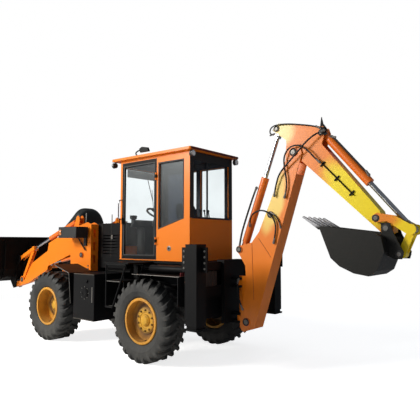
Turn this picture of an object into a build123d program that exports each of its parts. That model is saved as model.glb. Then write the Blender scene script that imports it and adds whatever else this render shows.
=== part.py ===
"""Backhoe loader: a rigid-frame machine on four equal wheels, with a front loader, a cab
and a side-shifting backhoe. Millimetres, +X to the loader, +Y to the left, +Z up.
Working coordinates: x = 0 halfway between the axles, y = 0 on the centre plane, z = 0 on
the ground. keep() moves every piece so that the origin lies under the middle of the length."""
import os
from math import cos, pi, radians, sin

from build123d import *

os.makedirs("parts", exist_ok=True)

# ---------------------------------------------------------------- driving dimensions
# Wheels and axles
WHEELBASE = 2435.0
WHEEL_Y = 811.0          # centre plane of a tyre
TYRE_R = 590.0
TYRE_W = 410.0
RIM_SEAT_R = 305.0       # 24 inch bead seat
RIM_FLANGE_R = 326.0
RIM_HALF_W = 172.0
BEAD_HALF_W = 150.0      # half distance between the outer faces of a tyre's beads
BEAD_GAP = 2.0           # radial gap between a rim's flange and the tyre beside it
LUGS = 24                # lugs on each half of a tyre
TREAD_R = 555.0          # bottom of the grooves
SHOULDER_R = 548.0
SIDEWALL_R = 452.0       # widest ring of the sidewall
HUB_R = 190.0
SPINDLE_R = 50.0
HUB_RECESS = {"front": -11.0, "rear": 59.0}    # hub face, outwards from the tyre's centre plane
KINGPIN_Y = 580.0
KINGPIN_R = 20.0
STEER_ARM = 200.0
TIE_ROD_Z = TYRE_R - 83.0
RUN_FIT = 0.05           # radial clearance of a turning fit
SEAT_GAP = 0.3           # gap between curved faces that rest on each other
AXLE_X = {"front": WHEELBASE / 2, "rear": -WHEELBASE / 2}

# Main frame
RAIL_Y = (180.0, 250.0)
RAIL_Z = (TYRE_R + 110.0, TYRE_R + 310.0)
RAIL_X = (-1960.0, 1560.0)
DECK_Z = (1385.0, 1428.0)
POST_Y = (190.0, 240.0)

# Cab
CAB_X = (-1733.0, -181.0)
CAB_Y = 510.0
CAB_Z = (DECK_Z[1], 3050.0)
WALL = 40.0
ROOF_X = (-1814.0, -18.0)
ROOF_Y = 585.0
ROOF_T = 40.0
GLASS_T = 5.0

# Loader
TOWER_Y = (372.0, 528.0)      # inner and outer faces of a tower
PLATE = 16.0
ARM_Y = (400.0, 500.0)
ARM_PIVOT = (1150.0, 1850.0)
LIFT_BASE = (850.0, 1480.0)
LIFT_ROD = (1990.0, 1290.0)
TILT_BASE = (1050.0, 2120.0)
TILT_JOINT = (2580.0, 1575.0)
LEVER_PIN = (2985.0, 930.0)
BUCKET_PIN = (3250.0, 815.0)
LINK_PIN = (3085.0, 1365.0)
BUCKET_HALF_W = 1050.0
LIP_X = 4150.0

# Backhoe
SWING_X = -2280.0
BOOM_PIVOT = (-2440.0, 600.0)
BOOM_ROD = (-2850.0, 2080.0)
BOOM_BASE = (-2425.0, 930.0)
DIPPER_PIVOT = (-3210.0, 2890.0)
DIPPER_BASE = (-2325.0, 1604.0)
DIPPER_NOSE = (-2945.0, 3245.0)
CROWD_BASE = (-3600.0, 3095.0)
CROWD_JOINT = (-4650.0, 1850.0)
CRANK_PIN = (-4275.0, 1985.0)
HOE_PIN = (-4395.0, 1865.0)
EAR_PIN = (-4530.0, 1575.0)
BOOM_Y = 110.0
DIPPER_Y = 90.0
JOINT_R = 60.0
PIN_R = 24.0               # every linkage pin, unless named otherwise
BIG_PIN_R = 32.0           # boom foot, dipper and arm pivots
NECK = 110.0               # flat neck of a cylinder's eyes, from the pin

REAR_X = CROWD_JOINT[0] - JOINT_R
TO_ORIGIN = Location((-(LIP_X + REAR_X) / 2, 0, 0))


# ---------------------------------------------------------------- helpers
def keep(piece, name):
    """Label a finished piece, move it to the model's origin and write its STEP."""
    part = piece.part.moved(TO_ORIGIN)
    part.label = name
    export_step(part, f"parts/{name}.step")


def span(side, a, b):
    """Low and high of a range mirrored to one side."""
    return (side * a, side * b) if side > 0 else (side * b, side * a)


def block(x, y, z, mode=Mode.ADD):
    """Box between low and high along each axis."""
    with Locations(((x[0] + x[1]) / 2, (y[0] + y[1]) / 2, (z[0] + z[1]) / 2)):
        Box(x[1] - x[0], y[1] - y[0], z[1] - z[0], mode=mode)


def slab(points, y, mode=Mode.ADD, corner=0.0):
    """Side profile in X and Z, extruded from the lower to the higher Y."""
    with BuildSketch(Plane.XZ.offset(-y[0])) as face:
        with BuildLine():
            Polyline(*points, close=True)
        make_face()
        if corner:
            fillet(face.vertices(), corner)
    extrude(face.sketch, amount=y[1] - y[0], dir=(0, 1, 0), mode=mode)


def disc(centre, r, y, mode=Mode.ADD):
    """Round bar along Y, from the lower to the higher Y."""
    with BuildSketch(Plane.XZ.offset(-y[0])) as face:
        with Locations(centre):
            Circle(r)
    extrude(face.sketch, amount=y[1] - y[0], dir=(0, 1, 0), mode=mode)


def bar(start, end, r, mode=Mode.ADD):
    """Round bar between two points."""
    axis = Vector(*end) - Vector(*start)
    with BuildSketch(Plane(origin=start, z_dir=axis)) as face:
        Circle(r)
    extrude(face.sketch, amount=axis.length, mode=mode)


def along(start, end, distance):
    """Point in X and Z at a distance from start towards end."""
    dx, dz = end[0] - start[0], end[1] - start[1]
    length = (dx * dx + dz * dz) ** 0.5
    return (start[0] + dx * distance / length, start[1] + dz * distance / length)


def turned(profile, centre, mode=Mode.ADD):
    """Solid turned about a line along Y through a centre, from rows of Y and radius."""
    with BuildSketch(Plane(origin=centre, x_dir=(0, 1, 0), z_dir=(1, 0, 0))) as face:
        with BuildLine():
            Polyline((profile[0][0], 0), *profile, (profile[-1][0], 0), close=True)
        make_face()
    revolve(face.sketch, axis=Axis(centre, (0, 1, 0)), mode=mode)


def at(point, y):
    """Point in X and Z placed at a Y."""
    return (point[0], y, point[1])


def beam(start, end, half, y, mode=Mode.ADD):
    """Straight bar of rectangular section between two points in X and Z."""
    dx, dz = end[0] - start[0], end[1] - start[1]
    length = (dx * dx + dz * dz) ** 0.5
    nx, nz = -dz / length * half, dx / length * half
    slab(
        [(start[0] + nx, start[1] + nz), (end[0] + nx, end[1] + nz),
         (end[0] - nx, end[1] - nz), (start[0] - nx, start[1] - nz)],
        y, mode=mode)


def barrel_solid(base, rod_pin, y, eye_w, outer_r, rod_r, length, pin_reach=0.0):
    """Cylinder barrel: eye, neck, tube with its bore, and gland, from the base pin on.
    With a pin reach the eye carries its own pin, otherwise it is bored for one."""
    neck, bore_r = NECK, outer_r - 11
    disc(base, PIN_R * 1.8, (y - eye_w / 2, y + eye_w / 2))
    beam(along(base, rod_pin, PIN_R), along(base, rod_pin, neck + 5), PIN_R * 1.2, (y - eye_w / 2, y + eye_w / 2))
    bar(at(along(base, rod_pin, neck), y), at(along(base, rod_pin, length), y), outer_r)
    bar(at(along(base, rod_pin, neck + 25), y), at(along(base, rod_pin, length - 60), y), bore_r,
        mode=Mode.SUBTRACT)
    bar(at(along(base, rod_pin, length - 61), y), at(along(base, rod_pin, length + 1), y), rod_r + RUN_FIT,
        mode=Mode.SUBTRACT)
    if pin_reach:
        disc(base, PIN_R, (y - pin_reach, y + pin_reach))
    else:
        disc(base, PIN_R + RUN_FIT, (y - eye_w, y + eye_w), mode=Mode.SUBTRACT)


def rod_solid(base, rod_pin, y, eye_w, outer_r, rod_r, start):
    """Cylinder rod: piston inside the barrel, rod, and the eye at its pin."""
    bar(at(along(base, rod_pin, start), y), at(along(base, rod_pin, start + 60), y), outer_r - 11 - RUN_FIT)
    bar(at(along(base, rod_pin, start), y), at(along(rod_pin, base, NECK), y), rod_r)
    beam(along(rod_pin, base, NECK + 5), rod_pin, rod_r, (y - eye_w / 2, y + eye_w / 2))
    disc(rod_pin, PIN_R * 1.8, (y - eye_w / 2, y + eye_w / 2))
    disc(rod_pin, PIN_R, (y - eye_w, y + eye_w), mode=Mode.SUBTRACT)


# ---------------------------------------------------------------- wheels
LUG_PITCH = 360 / LUGS
LUG_ROWS = [  # distance from the centre plane, turn of the lug's middle, half width in degrees, foot and top radius
    (12.0, 5.0, 2.3, TREAD_R, TYRE_R),
    (168.0, -4.0, 2.6, SHOULDER_R, TYRE_R),
    (TYRE_W / 2, -5.5, 2.9, SIDEWALL_R, TYRE_R - 45)]


def ring_points(y, r, turns, shift):
    """Points round the axle at one radius, the same turns repeated in every pitch."""
    angles = [radians(LUG_PITCH * pitch + turn + shift) for pitch in range(LUGS) for turn in turns]
    return [(r * sin(angle), y, r * cos(angle)) for angle in angles]


def band(low, high, shift=0):
    """Flat three-cornered faces between two rings with as many points."""
    count = len(low)
    for here in range(count):
        after, below, beyond = (here + 1) % count, (here + shift) % count, (here + 1 + shift) % count
        yield low[here], low[after], high[below]
        yield low[after], high[beyond], high[below]


def strip(a, b, c, d):
    """The two halves of a four-cornered face."""
    yield a, b, c
    yield a, c, d


def tyre_faces():
    """Faces of a tyre about the origin: two halves of chevron lugs, half a pitch apart."""
    flat, treads, bores = 1 / cos(pi / LUGS), [], []
    for half, shift in ((1, 0.0), (-1, LUG_PITCH / 2)):
        foot = [ring_points(half * y, low, (turn - w, turn + w), shift) for y, turn, w, low, high in LUG_ROWS]
        top = [ring_points(half * y, high, (turn - w, turn + w), shift) for y, turn, w, low, high in LUG_ROWS]
        heel = [ring_points(half * BEAD_HALF_W, r * flat, (LUG_ROWS[-1][1],), shift)
                for r in (RIM_FLANGE_R + BEAD_GAP, RIM_SEAT_R)]
        for pitch in range(LUGS):
            left, right, following = 2 * pitch, 2 * pitch + 1, (2 * pitch + 2) % (2 * LUGS)
            for near, far in ((0, 1), (1, 2)):
                yield from strip(top[near][left], top[near][right], top[far][right], top[far][left])
                yield from strip(foot[near][right], foot[near][following], foot[far][following], foot[far][right])
                for edge in (left, right):
                    yield from strip(foot[near][edge], top[near][edge], top[far][edge], foot[far][edge])
            for row in (0, 2):
                yield from strip(foot[row][left], foot[row][right], top[row][right], top[row][left])
            beyond = (pitch + 1) % LUGS
            yield foot[2][left], foot[2][right], heel[0][pitch]
            yield from strip(foot[2][right], foot[2][following], heel[0][beyond], heel[0][pitch])
        yield from band(heel[0], heel[1])
        treads.append(foot[0])
        bores.append(heel[1])
    yield from band(treads[0], treads[1], -1)
    yield from band(bores[0], bores[1])


TYRE_FORM = Solid(Shell([Face(Wire.make_polygon(list(corners))) for corners in tyre_faces()]))

CORNERS = [("front_left", "front", 1), ("front_right", "front", -1),
           ("rear_left", "rear", 1), ("rear_right", "rear", -1)]

for corner_name, axle, side in CORNERS:
    section = Plane(origin=(AXLE_X[axle], side * WHEEL_Y, TYRE_R), x_dir=(0, side, 0), z_dir=(side, 0, 0))
    turn = Axis((AXLE_X[axle], side * WHEEL_Y, TYRE_R), (0, 1, 0))
    with BuildPart() as tyre:
        add(TYRE_FORM.moved(Location((AXLE_X[axle], side * WHEEL_Y, TYRE_R))))
    keep(tyre, f"tyre_{corner_name}")

    face = HUB_RECESS[axle]
    back, bead = face - 30, BEAD_HALF_W
    with BuildPart() as rim:
        with BuildSketch(section):
            with BuildLine():
                Polyline(
                    (face + 35, 0), (face + 35, 60), (face + 20, 75), (face, 75), (face, HUB_R),
                    (face - 14, HUB_R + 5), (face - 14, 290), (RIM_HALF_W, 290), (RIM_HALF_W, 318),
                    (RIM_HALF_W - 6, RIM_FLANGE_R), (bead + 1, RIM_FLANGE_R), (bead + 1, RIM_SEAT_R - SEAT_GAP),
                    (-bead - 1, RIM_SEAT_R - SEAT_GAP), (-bead - 1, RIM_FLANGE_R), (6 - RIM_HALF_W, RIM_FLANGE_R),
                    (-RIM_HALF_W, 318), (-RIM_HALF_W, 290), (back, 290), (back, SPINDLE_R + RUN_FIT),
                    (face + 5, SPINDLE_R + RUN_FIT), (face + 5, 0), close=True)
            make_face()
        revolve(axis=turn)
    keep(rim, f"rim_{corner_name}")

# ---------------------------------------------------------------- steering knuckles and tie rod
for knuckle_name, side in (("knuckle_left", 1), ("knuckle_right", -1)):
    x, spindle_end = AXLE_X["front"], WHEEL_Y + HUB_RECESS["front"] + 3
    with BuildPart() as knuckle:
        bar((x, side * KINGPIN_Y, TYRE_R - 73), (x, side * KINGPIN_Y, TYRE_R + 73), 50)
        bar((x, side * KINGPIN_Y, TYRE_R - 125), (x, side * KINGPIN_Y, TYRE_R + 125), KINGPIN_R)
        bar((x, side * KINGPIN_Y, TYRE_R), (x, side * spindle_end, TYRE_R), SPINDLE_R)
        bar((x, side * 645, TYRE_R), (x, side * 690, TYRE_R), 150)
        block((x - STEER_ARM - 22, x), span(side, 562, 598), (TIE_ROD_Z + 14, TIE_ROD_Z + 36))
    keep(knuckle, knuckle_name)

with BuildPart() as tie_rod:
    arm_x = AXLE_X["front"] - STEER_ARM
    bar((arm_x, -KINGPIN_Y, TIE_ROD_Z), (arm_x, KINGPIN_Y, TIE_ROD_Z), 12)
    for side in (1, -1):
        bar((arm_x, side * KINGPIN_Y, TIE_ROD_Z - 14), (arm_x, side * KINGPIN_Y, TIE_ROD_Z + 13.7), 22)
keep(tie_rod, "tie_rod")

# ---------------------------------------------------------------- axles
with BuildPart() as front_axle:
    x = AXLE_X["front"]
    turned([(-480, 75), (-170, 75), (-80, 150), (80, 150), (170, 75), (480, 75)], (x, 0, TYRE_R))
    bar((x, 0, TYRE_R), (x - 230, 0, TYRE_R), 60)
    for side in (1, -1):
        block((x - 50, x + 50), span(side, 470, 515), (TYRE_R - 125, TYRE_R + 125))
        for low in (TYRE_R - 125, TYRE_R + 75):
            block((x - 45, x + 45), span(side, 470, 625), (low, low + 50))
        bar((x, side * KINGPIN_Y, TYRE_R - 130), (x, side * KINGPIN_Y, TYRE_R + 130), KINGPIN_R + RUN_FIT,
            mode=Mode.SUBTRACT)
        block((x - 70, x + 70), span(side, *RAIL_Y), (TYRE_R + 50, RAIL_Z[0]))
keep(front_axle, "front_axle")

with BuildPart() as rear_axle:
    x = AXLE_X["rear"]
    spindle_end = WHEEL_Y + HUB_RECESS["rear"] + 3
    half_axle = [(85, 160), (175, 80), (640, 80), (640, 165), (760, 165), (760, SPINDLE_R), (spindle_end, SPINDLE_R)]
    turned([(-y, r) for y, r in reversed(half_axle)] + half_axle, (x, 0, TYRE_R))
    bar((x, 0, TYRE_R), (x + 230, 0, TYRE_R), 60)
    for side in (1, -1):
        block((x - 70, x + 70), span(side, *RAIL_Y), (TYRE_R + 50, RAIL_Z[0]))
keep(rear_axle, "rear_axle")

# ---------------------------------------------------------------- main frame and driveline
BEAM_Z = (1195.0, 1260.0)
TOWER_X = (590.0, 1195.0)
GEARBOX_X = (-900.0, -350.0)
with BuildPart() as main_frame:
    for side in (1, -1):
        block(RAIL_X, span(side, *RAIL_Y), RAIL_Z)
        block((540, 1440), span(side, *POST_Y), (RAIL_Z[1], BEAM_Z[0]))
        for post_x in (-1560, -330):
            block((post_x, post_x + 100), span(side, 150, 250), (RAIL_Z[1], DECK_Z[0]))
    for cross_x in (RAIL_X[0], GEARBOX_X[0] - 60, GEARBOX_X[1], 1480):
        block((cross_x, cross_x + 60), (-RAIL_Y[0], RAIL_Y[0]), (RAIL_Z[0] + 20, RAIL_Z[1] - 20))
    block((560, 1440), (-TOWER_Y[0], TOWER_Y[0]), BEAM_Z)
    block(CAB_X, (-CAB_Y + 10, CAB_Y - 10), DECK_Z)
    for side in (1, -1):
        block((-970, -400), span(side, CAB_Y - 10, 1000), (DECK_Z[0], DECK_Z[0] + 20))
keep(main_frame, "main_frame")

with BuildPart() as driveline:
    block(GEARBOX_X, (-150, 150), (560, 1000))
    bar((GEARBOX_X[1], 0, TYRE_R), (AXLE_X["front"] - 230, 0, TYRE_R), 35)
    bar((AXLE_X["rear"] + 230, 0, TYRE_R), (GEARBOX_X[0], 0, TYRE_R), 35)
keep(driveline, "driveline")

with BuildPart() as engine:
    block((-120, 520), (-240, 240), (RAIL_Z[1], 1600))
keep(engine, "engine")

# ---------------------------------------------------------------- loader towers, hood and cowl
TOWER_SIDE = [(590, 1195), (590, 2020), (700, 2060), (1040, 1985), (1240, 1930), (1245, 1780), (1195, 1300),
              (1195, 1195)]
with BuildPart() as loader_towers:
    for side in (1, -1):
        slab(TOWER_SIDE, span(side, TOWER_Y[0], TOWER_Y[0] + PLATE))
        slab(TOWER_SIDE, span(side, TOWER_Y[1] - PLATE, TOWER_Y[1]))
        block((590, 606), span(side, *TOWER_Y), (1195, 2020))
        block((590, 1195), span(side, *TOWER_Y), (1195, 1211))
        for low in (1330, 1560, 1790):
            block((589, 607), span(side, 425, 475), (low, low + 150), mode=Mode.SUBTRACT)
        for pin, r in ((ARM_PIVOT, BIG_PIN_R), (LIFT_BASE, PIN_R)):
            disc(pin, r + 22, span(side, TOWER_Y[1], TOWER_Y[1] + 20))
            disc(pin, r + RUN_FIT, span(side, TOWER_Y[0] - 1, TOWER_Y[1] + 21), mode=Mode.SUBTRACT)
keep(loader_towers, "loader_towers")

HOOD_X = (-165.0, 1040.0)
HOOD_Y = 355.0
HOOD_TOP = 2035.0
with BuildPart() as engine_hood:
    block(HOOD_X, (-HOOD_Y, HOOD_Y), (BEAM_Z[1], HOOD_TOP))
    block((HOOD_X[0] + 6, HOOD_X[1] - 6), (6 - HOOD_Y, HOOD_Y - 6), (BEAM_Z[1] - 1, HOOD_TOP - 6),
          mode=Mode.SUBTRACT)
    for row in range(7):
        low = 1500 + 52 * row
        block((30, 470), (-HOOD_Y - 1, HOOD_Y + 1), (low, low + 18), mode=Mode.SUBTRACT)
keep(engine_hood, "engine_hood")

with BuildPart() as front_cowl:
    COWL = [(1046, 1260), (1046, 2255), (1180, 2350), (1340, 2378), (1560, 2300), (1780, 2165), (1930, 1990),
            (1960, 1700), (1900, 1260)]
    slab(COWL, (-300, 300))
    for row in range(9):
        low = 1320 + 42 * row
        block((1870, 1970), (-230, 230), (low, low + 22), mode=Mode.SUBTRACT)
keep(front_cowl, "front_cowl")

# ---------------------------------------------------------------- cab
POST = 54.0
SILL_Z = 1500.0
REAR_SILL = (1910.0, 2060.0)
WINDOW_TOP = 2930.0
DOOR_X = (-1035.0, -235.0)
DOOR_Z = (1440.0, 3000.0)
SIDE_WINDOW = [(-1085, REAR_SILL[0]), (-1085, WINDOW_TOP), (-1610, WINDOW_TOP), (-1610, REAR_SILL[1])]
RIGHT_WINDOW = [(-1000, SILL_Z), (-1000, WINDOW_TOP), (-270, WINDOW_TOP), (-270, SILL_Z)]
FRONT_WINDOW = (-440.0, 440.0, 1640.0, 2950.0)
REAR_WINDOW = (-440.0, 440.0, 2065.0, WINDOW_TOP)
DOOR_GAP = 5.0
HINGE = (DOOR_X[0] - 5.0, CAB_Y + 15.0)
HINGE_ROWS = (1700.0, 2700.0)

with BuildPart() as cab_shell:
    block(CAB_X, (-CAB_Y, CAB_Y), CAB_Z)
    block((CAB_X[0] + WALL, CAB_X[1] - WALL), (WALL - CAB_Y, CAB_Y - WALL), (CAB_Z[0] + 20, CAB_Z[1] + 1),
          mode=Mode.SUBTRACT)
    block(DOOR_X, (CAB_Y - WALL - 1, CAB_Y + 1), DOOR_Z, mode=Mode.SUBTRACT)
    slab(SIDE_WINDOW, (CAB_Y - WALL - 1, CAB_Y + 1), mode=Mode.SUBTRACT)
    slab(SIDE_WINDOW, (-CAB_Y - 1, WALL - CAB_Y + 1), mode=Mode.SUBTRACT)
    slab(RIGHT_WINDOW, (-CAB_Y - 1, WALL - CAB_Y + 1), mode=Mode.SUBTRACT)
    block((CAB_X[1] - WALL - 1, CAB_X[1] + 1), FRONT_WINDOW[:2], FRONT_WINDOW[2:], mode=Mode.SUBTRACT)
    block((CAB_X[0] - 1, CAB_X[0] + WALL + 1), REAR_WINDOW[:2], REAR_WINDOW[2:], mode=Mode.SUBTRACT)
    for row in HINGE_ROWS:
        for low in (row - 31, row + 51):
            bar((*HINGE, low), (*HINGE, low + 30), 14)
            block((HINGE[0] - 45, HINGE[0]), (CAB_Y, CAB_Y + 8), (low, low + 30))
        bar((*HINGE, row - 31), (*HINGE, row + 81), 7)
keep(cab_shell, "cab_shell")

with BuildPart() as cab_glass:
    mid = WALL / 2 + GLASS_T / 2
    slab(SIDE_WINDOW, (CAB_Y - mid, CAB_Y - mid + GLASS_T))
    slab(SIDE_WINDOW, (mid - GLASS_T - CAB_Y, mid - CAB_Y))
    slab(RIGHT_WINDOW, (mid - GLASS_T - CAB_Y, mid - CAB_Y))
    block((CAB_X[1] - mid, CAB_X[1] - mid + GLASS_T), FRONT_WINDOW[:2], FRONT_WINDOW[2:])
    block((CAB_X[0] + mid - GLASS_T, CAB_X[0] + mid), REAR_WINDOW[:2], REAR_WINDOW[2:])
keep(cab_glass, "cab_glass")

with BuildPart() as cab_roof:
    with BuildSketch(Plane.XY.offset(CAB_Z[1])) as plan:
        with Locations(((ROOF_X[0] + ROOF_X[1]) / 2, 0)):
            RectangleRounded(ROOF_X[1] - ROOF_X[0], 2 * ROOF_Y, 40)
    extrude(amount=ROOF_T)
keep(cab_roof, "cab_roof")

DOOR_FRAME_X = (DOOR_X[0] + DOOR_GAP, DOOR_X[1] - DOOR_GAP)
DOOR_FRAME_Z = (DOOR_Z[0] + DOOR_GAP, DOOR_Z[1] - DOOR_GAP)
DOOR_PANE = (DOOR_FRAME_X[0] + 32, DOOR_FRAME_X[1] - 32, DOOR_FRAME_Z[0] + 55, DOOR_FRAME_Z[1] - 45)
with BuildPart() as door:
    block(DOOR_FRAME_X, (CAB_Y - WALL, CAB_Y), DOOR_FRAME_Z)
    block(DOOR_PANE[:2], (CAB_Y - WALL - 1, CAB_Y + 1), DOOR_PANE[2:], mode=Mode.SUBTRACT)
    for row in HINGE_ROWS:
        block((HINGE[0], DOOR_FRAME_X[0] + 30), (CAB_Y, CAB_Y + 8), (row, row + 50))
        bar((*HINGE, row), (*HINGE, row + 50), 14)
        bar((*HINGE, row - 1), (*HINGE, row + 51), 7 + RUN_FIT, mode=Mode.SUBTRACT)
    block((DOOR_FRAME_X[1] - 28, DOOR_FRAME_X[1] - 8), (CAB_Y, CAB_Y + 30), (2000, 2110))
keep(door, "door")

with BuildPart() as door_glass:
    block(DOOR_PANE[:2], (CAB_Y - mid, CAB_Y - mid + GLASS_T), DOOR_PANE[2:])
keep(door_glass, "door_glass")

with BuildPart() as seat_base:
    FLOOR = CAB_Z[0] + 20
    block((-1120, -760), (-200, 200), (FLOOR, FLOOR + 300))
keep(seat_base, "seat_base")

with BuildPart() as seat:
    slab([(-1230, 1760), (-1180, 1748.3), (-700, 1748.3), (-690, 1840), (-1130, 1850), (-1240, 2330), (-1320, 2320)],
         (-235, 235))
keep(seat, "seat")

with BuildPart() as steering_column:
    block((-420, -230), (-180, 180), (FLOOR, FLOOR + 520))
    bar((-400, 0, 1960), (-533, 0, 2182), 25)
    ring = Plane(origin=(-528, 0, 2173), z_dir=(-120, 0, 200))
    with BuildSketch(ring) as wheel_face:
        Circle(200)
        Circle(172, mode=Mode.SUBTRACT)
        Rectangle(380, 30)
        Circle(45)
    extrude(wheel_face.sketch, amount=24)
keep(steering_column, "steering_column")

with BuildPart() as hoe_controls:
    block((-1680, -1440), (-330, 330), (FLOOR, FLOOR + 480))
    for lever_y in (-250, -150, -50, 50, 150, 250):
        bar((-1500, lever_y, FLOOR + 470), (-1450, lever_y, FLOOR + 760), 9)
keep(hoe_controls, "hoe_controls")

with BuildPart() as roof_lamps:
    for lamp_x, faces in ((ROOF_X[0] + 45, -1), (ROOF_X[1] - 45, 1)):
        for side in (1, -1):
            centre = (lamp_x, side * (ROOF_Y - 60), CAB_Z[1] - 55)
            bar(centre, (lamp_x + faces * 45, centre[1], centre[2]), 45)
            bar(centre, (lamp_x, centre[1], CAB_Z[1]), 8)
keep(roof_lamps, "roof_lamps")

with BuildPart() as head_lamps:
    for side in (1, -1):
        block((640, 1180), span(side, 560, 800), (1780, 1975))
        block((700, 760), span(side, TOWER_Y[1], 560), (1640, 1900))
keep(head_lamps, "head_lamps")

# ---------------------------------------------------------------- fenders, tanks and steps
with BuildPart() as fenders:
    for side in (1, -1):
        slab([(980, 1310), (540, 1190), (470, 700), (462, 700), (532, 1198), (978, 1320)],
             span(side, TOWER_Y[1], 1000))
    for side in (1, -1):
        block((-1950, -1000), span(side, 250, 950), (1235, 1247))
keep(fenders, "fenders")

TANK_X = (-170.0, 380.0)
with BuildPart() as side_tanks:
    for side in (1, -1):
        block(TANK_X, span(side, RAIL_Y[1], 1000), (470, 1200))
        disc((80, 900), 85, span(side, 1000, 1012))
keep(side_tanks, "side_tanks")

STEP_R = 14.0
STEP_FRONT = -450.0
STEP_GAP = 17.5          # between a rear tyre and the foot of the steps
STEP_REAR = (AXLE_X["rear"] + 312.5, AXLE_X["rear"] + TYRE_R + STEP_GAP)    # at the top and at the foot
STEP_Z = (730.0, DECK_Z[0] - STEP_R)
STEP_LOOP = [(STEP_FRONT, STEP_Z[1]), (STEP_REAR[0], STEP_Z[1]), (STEP_REAR[1], STEP_Z[0]), (STEP_FRONT, STEP_Z[0])]
with BuildPart() as steps:
    for side in (1, -1):
        for rail_y in (640, 985):
            for start, end in zip(STEP_LOOP, STEP_LOOP[1:] + STEP_LOOP[:1]):
                bar((start[0], side * rail_y, start[1]), (end[0], side * rail_y, end[1]), STEP_R)
        for share in (0, 0.608):      # of the height from the lower to the upper rail
            tread_z = STEP_Z[0] + share * (STEP_Z[1] - STEP_Z[0])
            rear = STEP_REAR[1] + share * (STEP_REAR[0] - STEP_REAR[1])
            block((rear, STEP_FRONT), span(side, 640, 985), (tread_z - 10, tread_z + 10))
keep(steps, "steps")

# ---------------------------------------------------------------- rear frame and stabilisers
LEG_X = (-2320.0, -2130.0)
LEG_Y = (840.0, 1030.0)
LEG_Z = (640.0, 1680.0)
LEG_WALL = 12.0
LEG_GAP = 0.5
SHIFT_RAILS = ((950.0, 1100.0), (1320.0, 1430.0))
RAIL_FRONT = -2000.0
with BuildPart() as rear_frame:
    for low, high in SHIFT_RAILS:
        block((RAIL_FRONT - 100, RAIL_FRONT), (-LEG_Y[0], LEG_Y[0]), (low, high))
    block((RAIL_FRONT, RAIL_X[0]), (-LEG_Y[0], LEG_Y[0]), (640, 1430))
    for side in (1, -1):
        block(LEG_X, span(side, *LEG_Y), LEG_Z)
        block((LEG_X[0] - 90, LEG_X[1] + 150), span(side, 905, 935), (1320, 1640))
        block((LEG_X[1], RAIL_FRONT), span(side, 760, 905), (700, 1640))
        block((LEG_X[0] + LEG_WALL, LEG_X[1] - LEG_WALL), span(side, LEG_Y[0] + LEG_WALL, LEG_Y[1] - LEG_WALL),
              (LEG_Z[0] - 1, LEG_Z[1] - LEG_WALL), mode=Mode.SUBTRACT)
keep(rear_frame, "rear_frame")

for leg_name, side in (("leg_left", 1), ("leg_right", -1)):
    with BuildPart() as leg:
        inset = LEG_WALL + LEG_GAP
        block((LEG_X[0] + inset, LEG_X[1] - inset), span(side, LEG_Y[0] + inset, LEG_Y[1] - inset),
              (LEG_Z[0] - 40, LEG_Z[1] - LEG_WALL - 10))
        block((LEG_X[0] - 10, LEG_X[1] + 10), span(side, LEG_Y[0] - 10, LEG_Y[1] + 10),
              (LEG_Z[0] - 60, LEG_Z[0] - 35))
    keep(leg, leg_name)

with BuildPart() as valve_block:
    block((-2090, -2001), (330, 620), (1100, 1300))
    for row in range(6):
        spool_y = 355 + 48 * row
        bar((-2045, spool_y, 1300), (-2045, spool_y, 1316), 15)
    for row in range(5):
        seam_y = 379 + 48 * row
        block((-2091, -2074), (seam_y - 4, seam_y + 4), (1099, 1301), mode=Mode.SUBTRACT)
keep(valve_block, "valve_block")

with BuildPart() as carriage:
    plate_x = RAIL_FRONT - 100
    block((plate_x - 50, plate_x - SEAT_GAP), (-240, 240), (560, 1440))
    block((plate_x - 50, RAIL_FRONT - 20), (-240, 240), (1430 + SEAT_GAP, 1455))
    for low in (560, 1060):
        block((SWING_X, plate_x - 50), (-60, 60), (low, low + 35))
        block((SWING_X, plate_x - 50), (-60, 60), (low + 110, low + 145))
        for lug in (low, low + 110):
            bar((SWING_X, 0, lug), (SWING_X, 0, lug + 35), 64)
    bar((SWING_X, 0, 500), (SWING_X, 0, 1300), 30 + RUN_FIT, mode=Mode.SUBTRACT)
keep(carriage, "carriage")

POST_CHEEK_Y = (62.0, 84.0)
with BuildPart() as swing_post:
    for low in (596, 1096):
        bar((SWING_X, 0, low), (SWING_X, 0, low + 73), 60)
        block((SWING_X - 90, SWING_X), (-60, 60), (low, low + 73))
    bar((SWING_X, 0, 540), (SWING_X, 0, 1225), 30)
    block((SWING_X - 90, SWING_X - 72), (-POST_CHEEK_Y[1], POST_CHEEK_Y[1]), (545, 1230))
    for side in (1, -1):
        slab([(SWING_X - 90, 545), (SWING_X - 90, 1230), (-2410, 1230), (-2485, 990), (-2485, 880), (-2440, 820), (-2440, 690),
              (-2500, 660), (-2530, 600), (-2500, 530), (-2440, 510)], span(side, *POST_CHEEK_Y))
        disc(BOOM_PIVOT, BIG_PIN_R + RUN_FIT, span(side, 50, BOOM_Y), mode=Mode.SUBTRACT)
    disc(BOOM_BASE, PIN_R, (-POST_CHEEK_Y[1], POST_CHEEK_Y[1]))
keep(swing_post, "swing_post")

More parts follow.
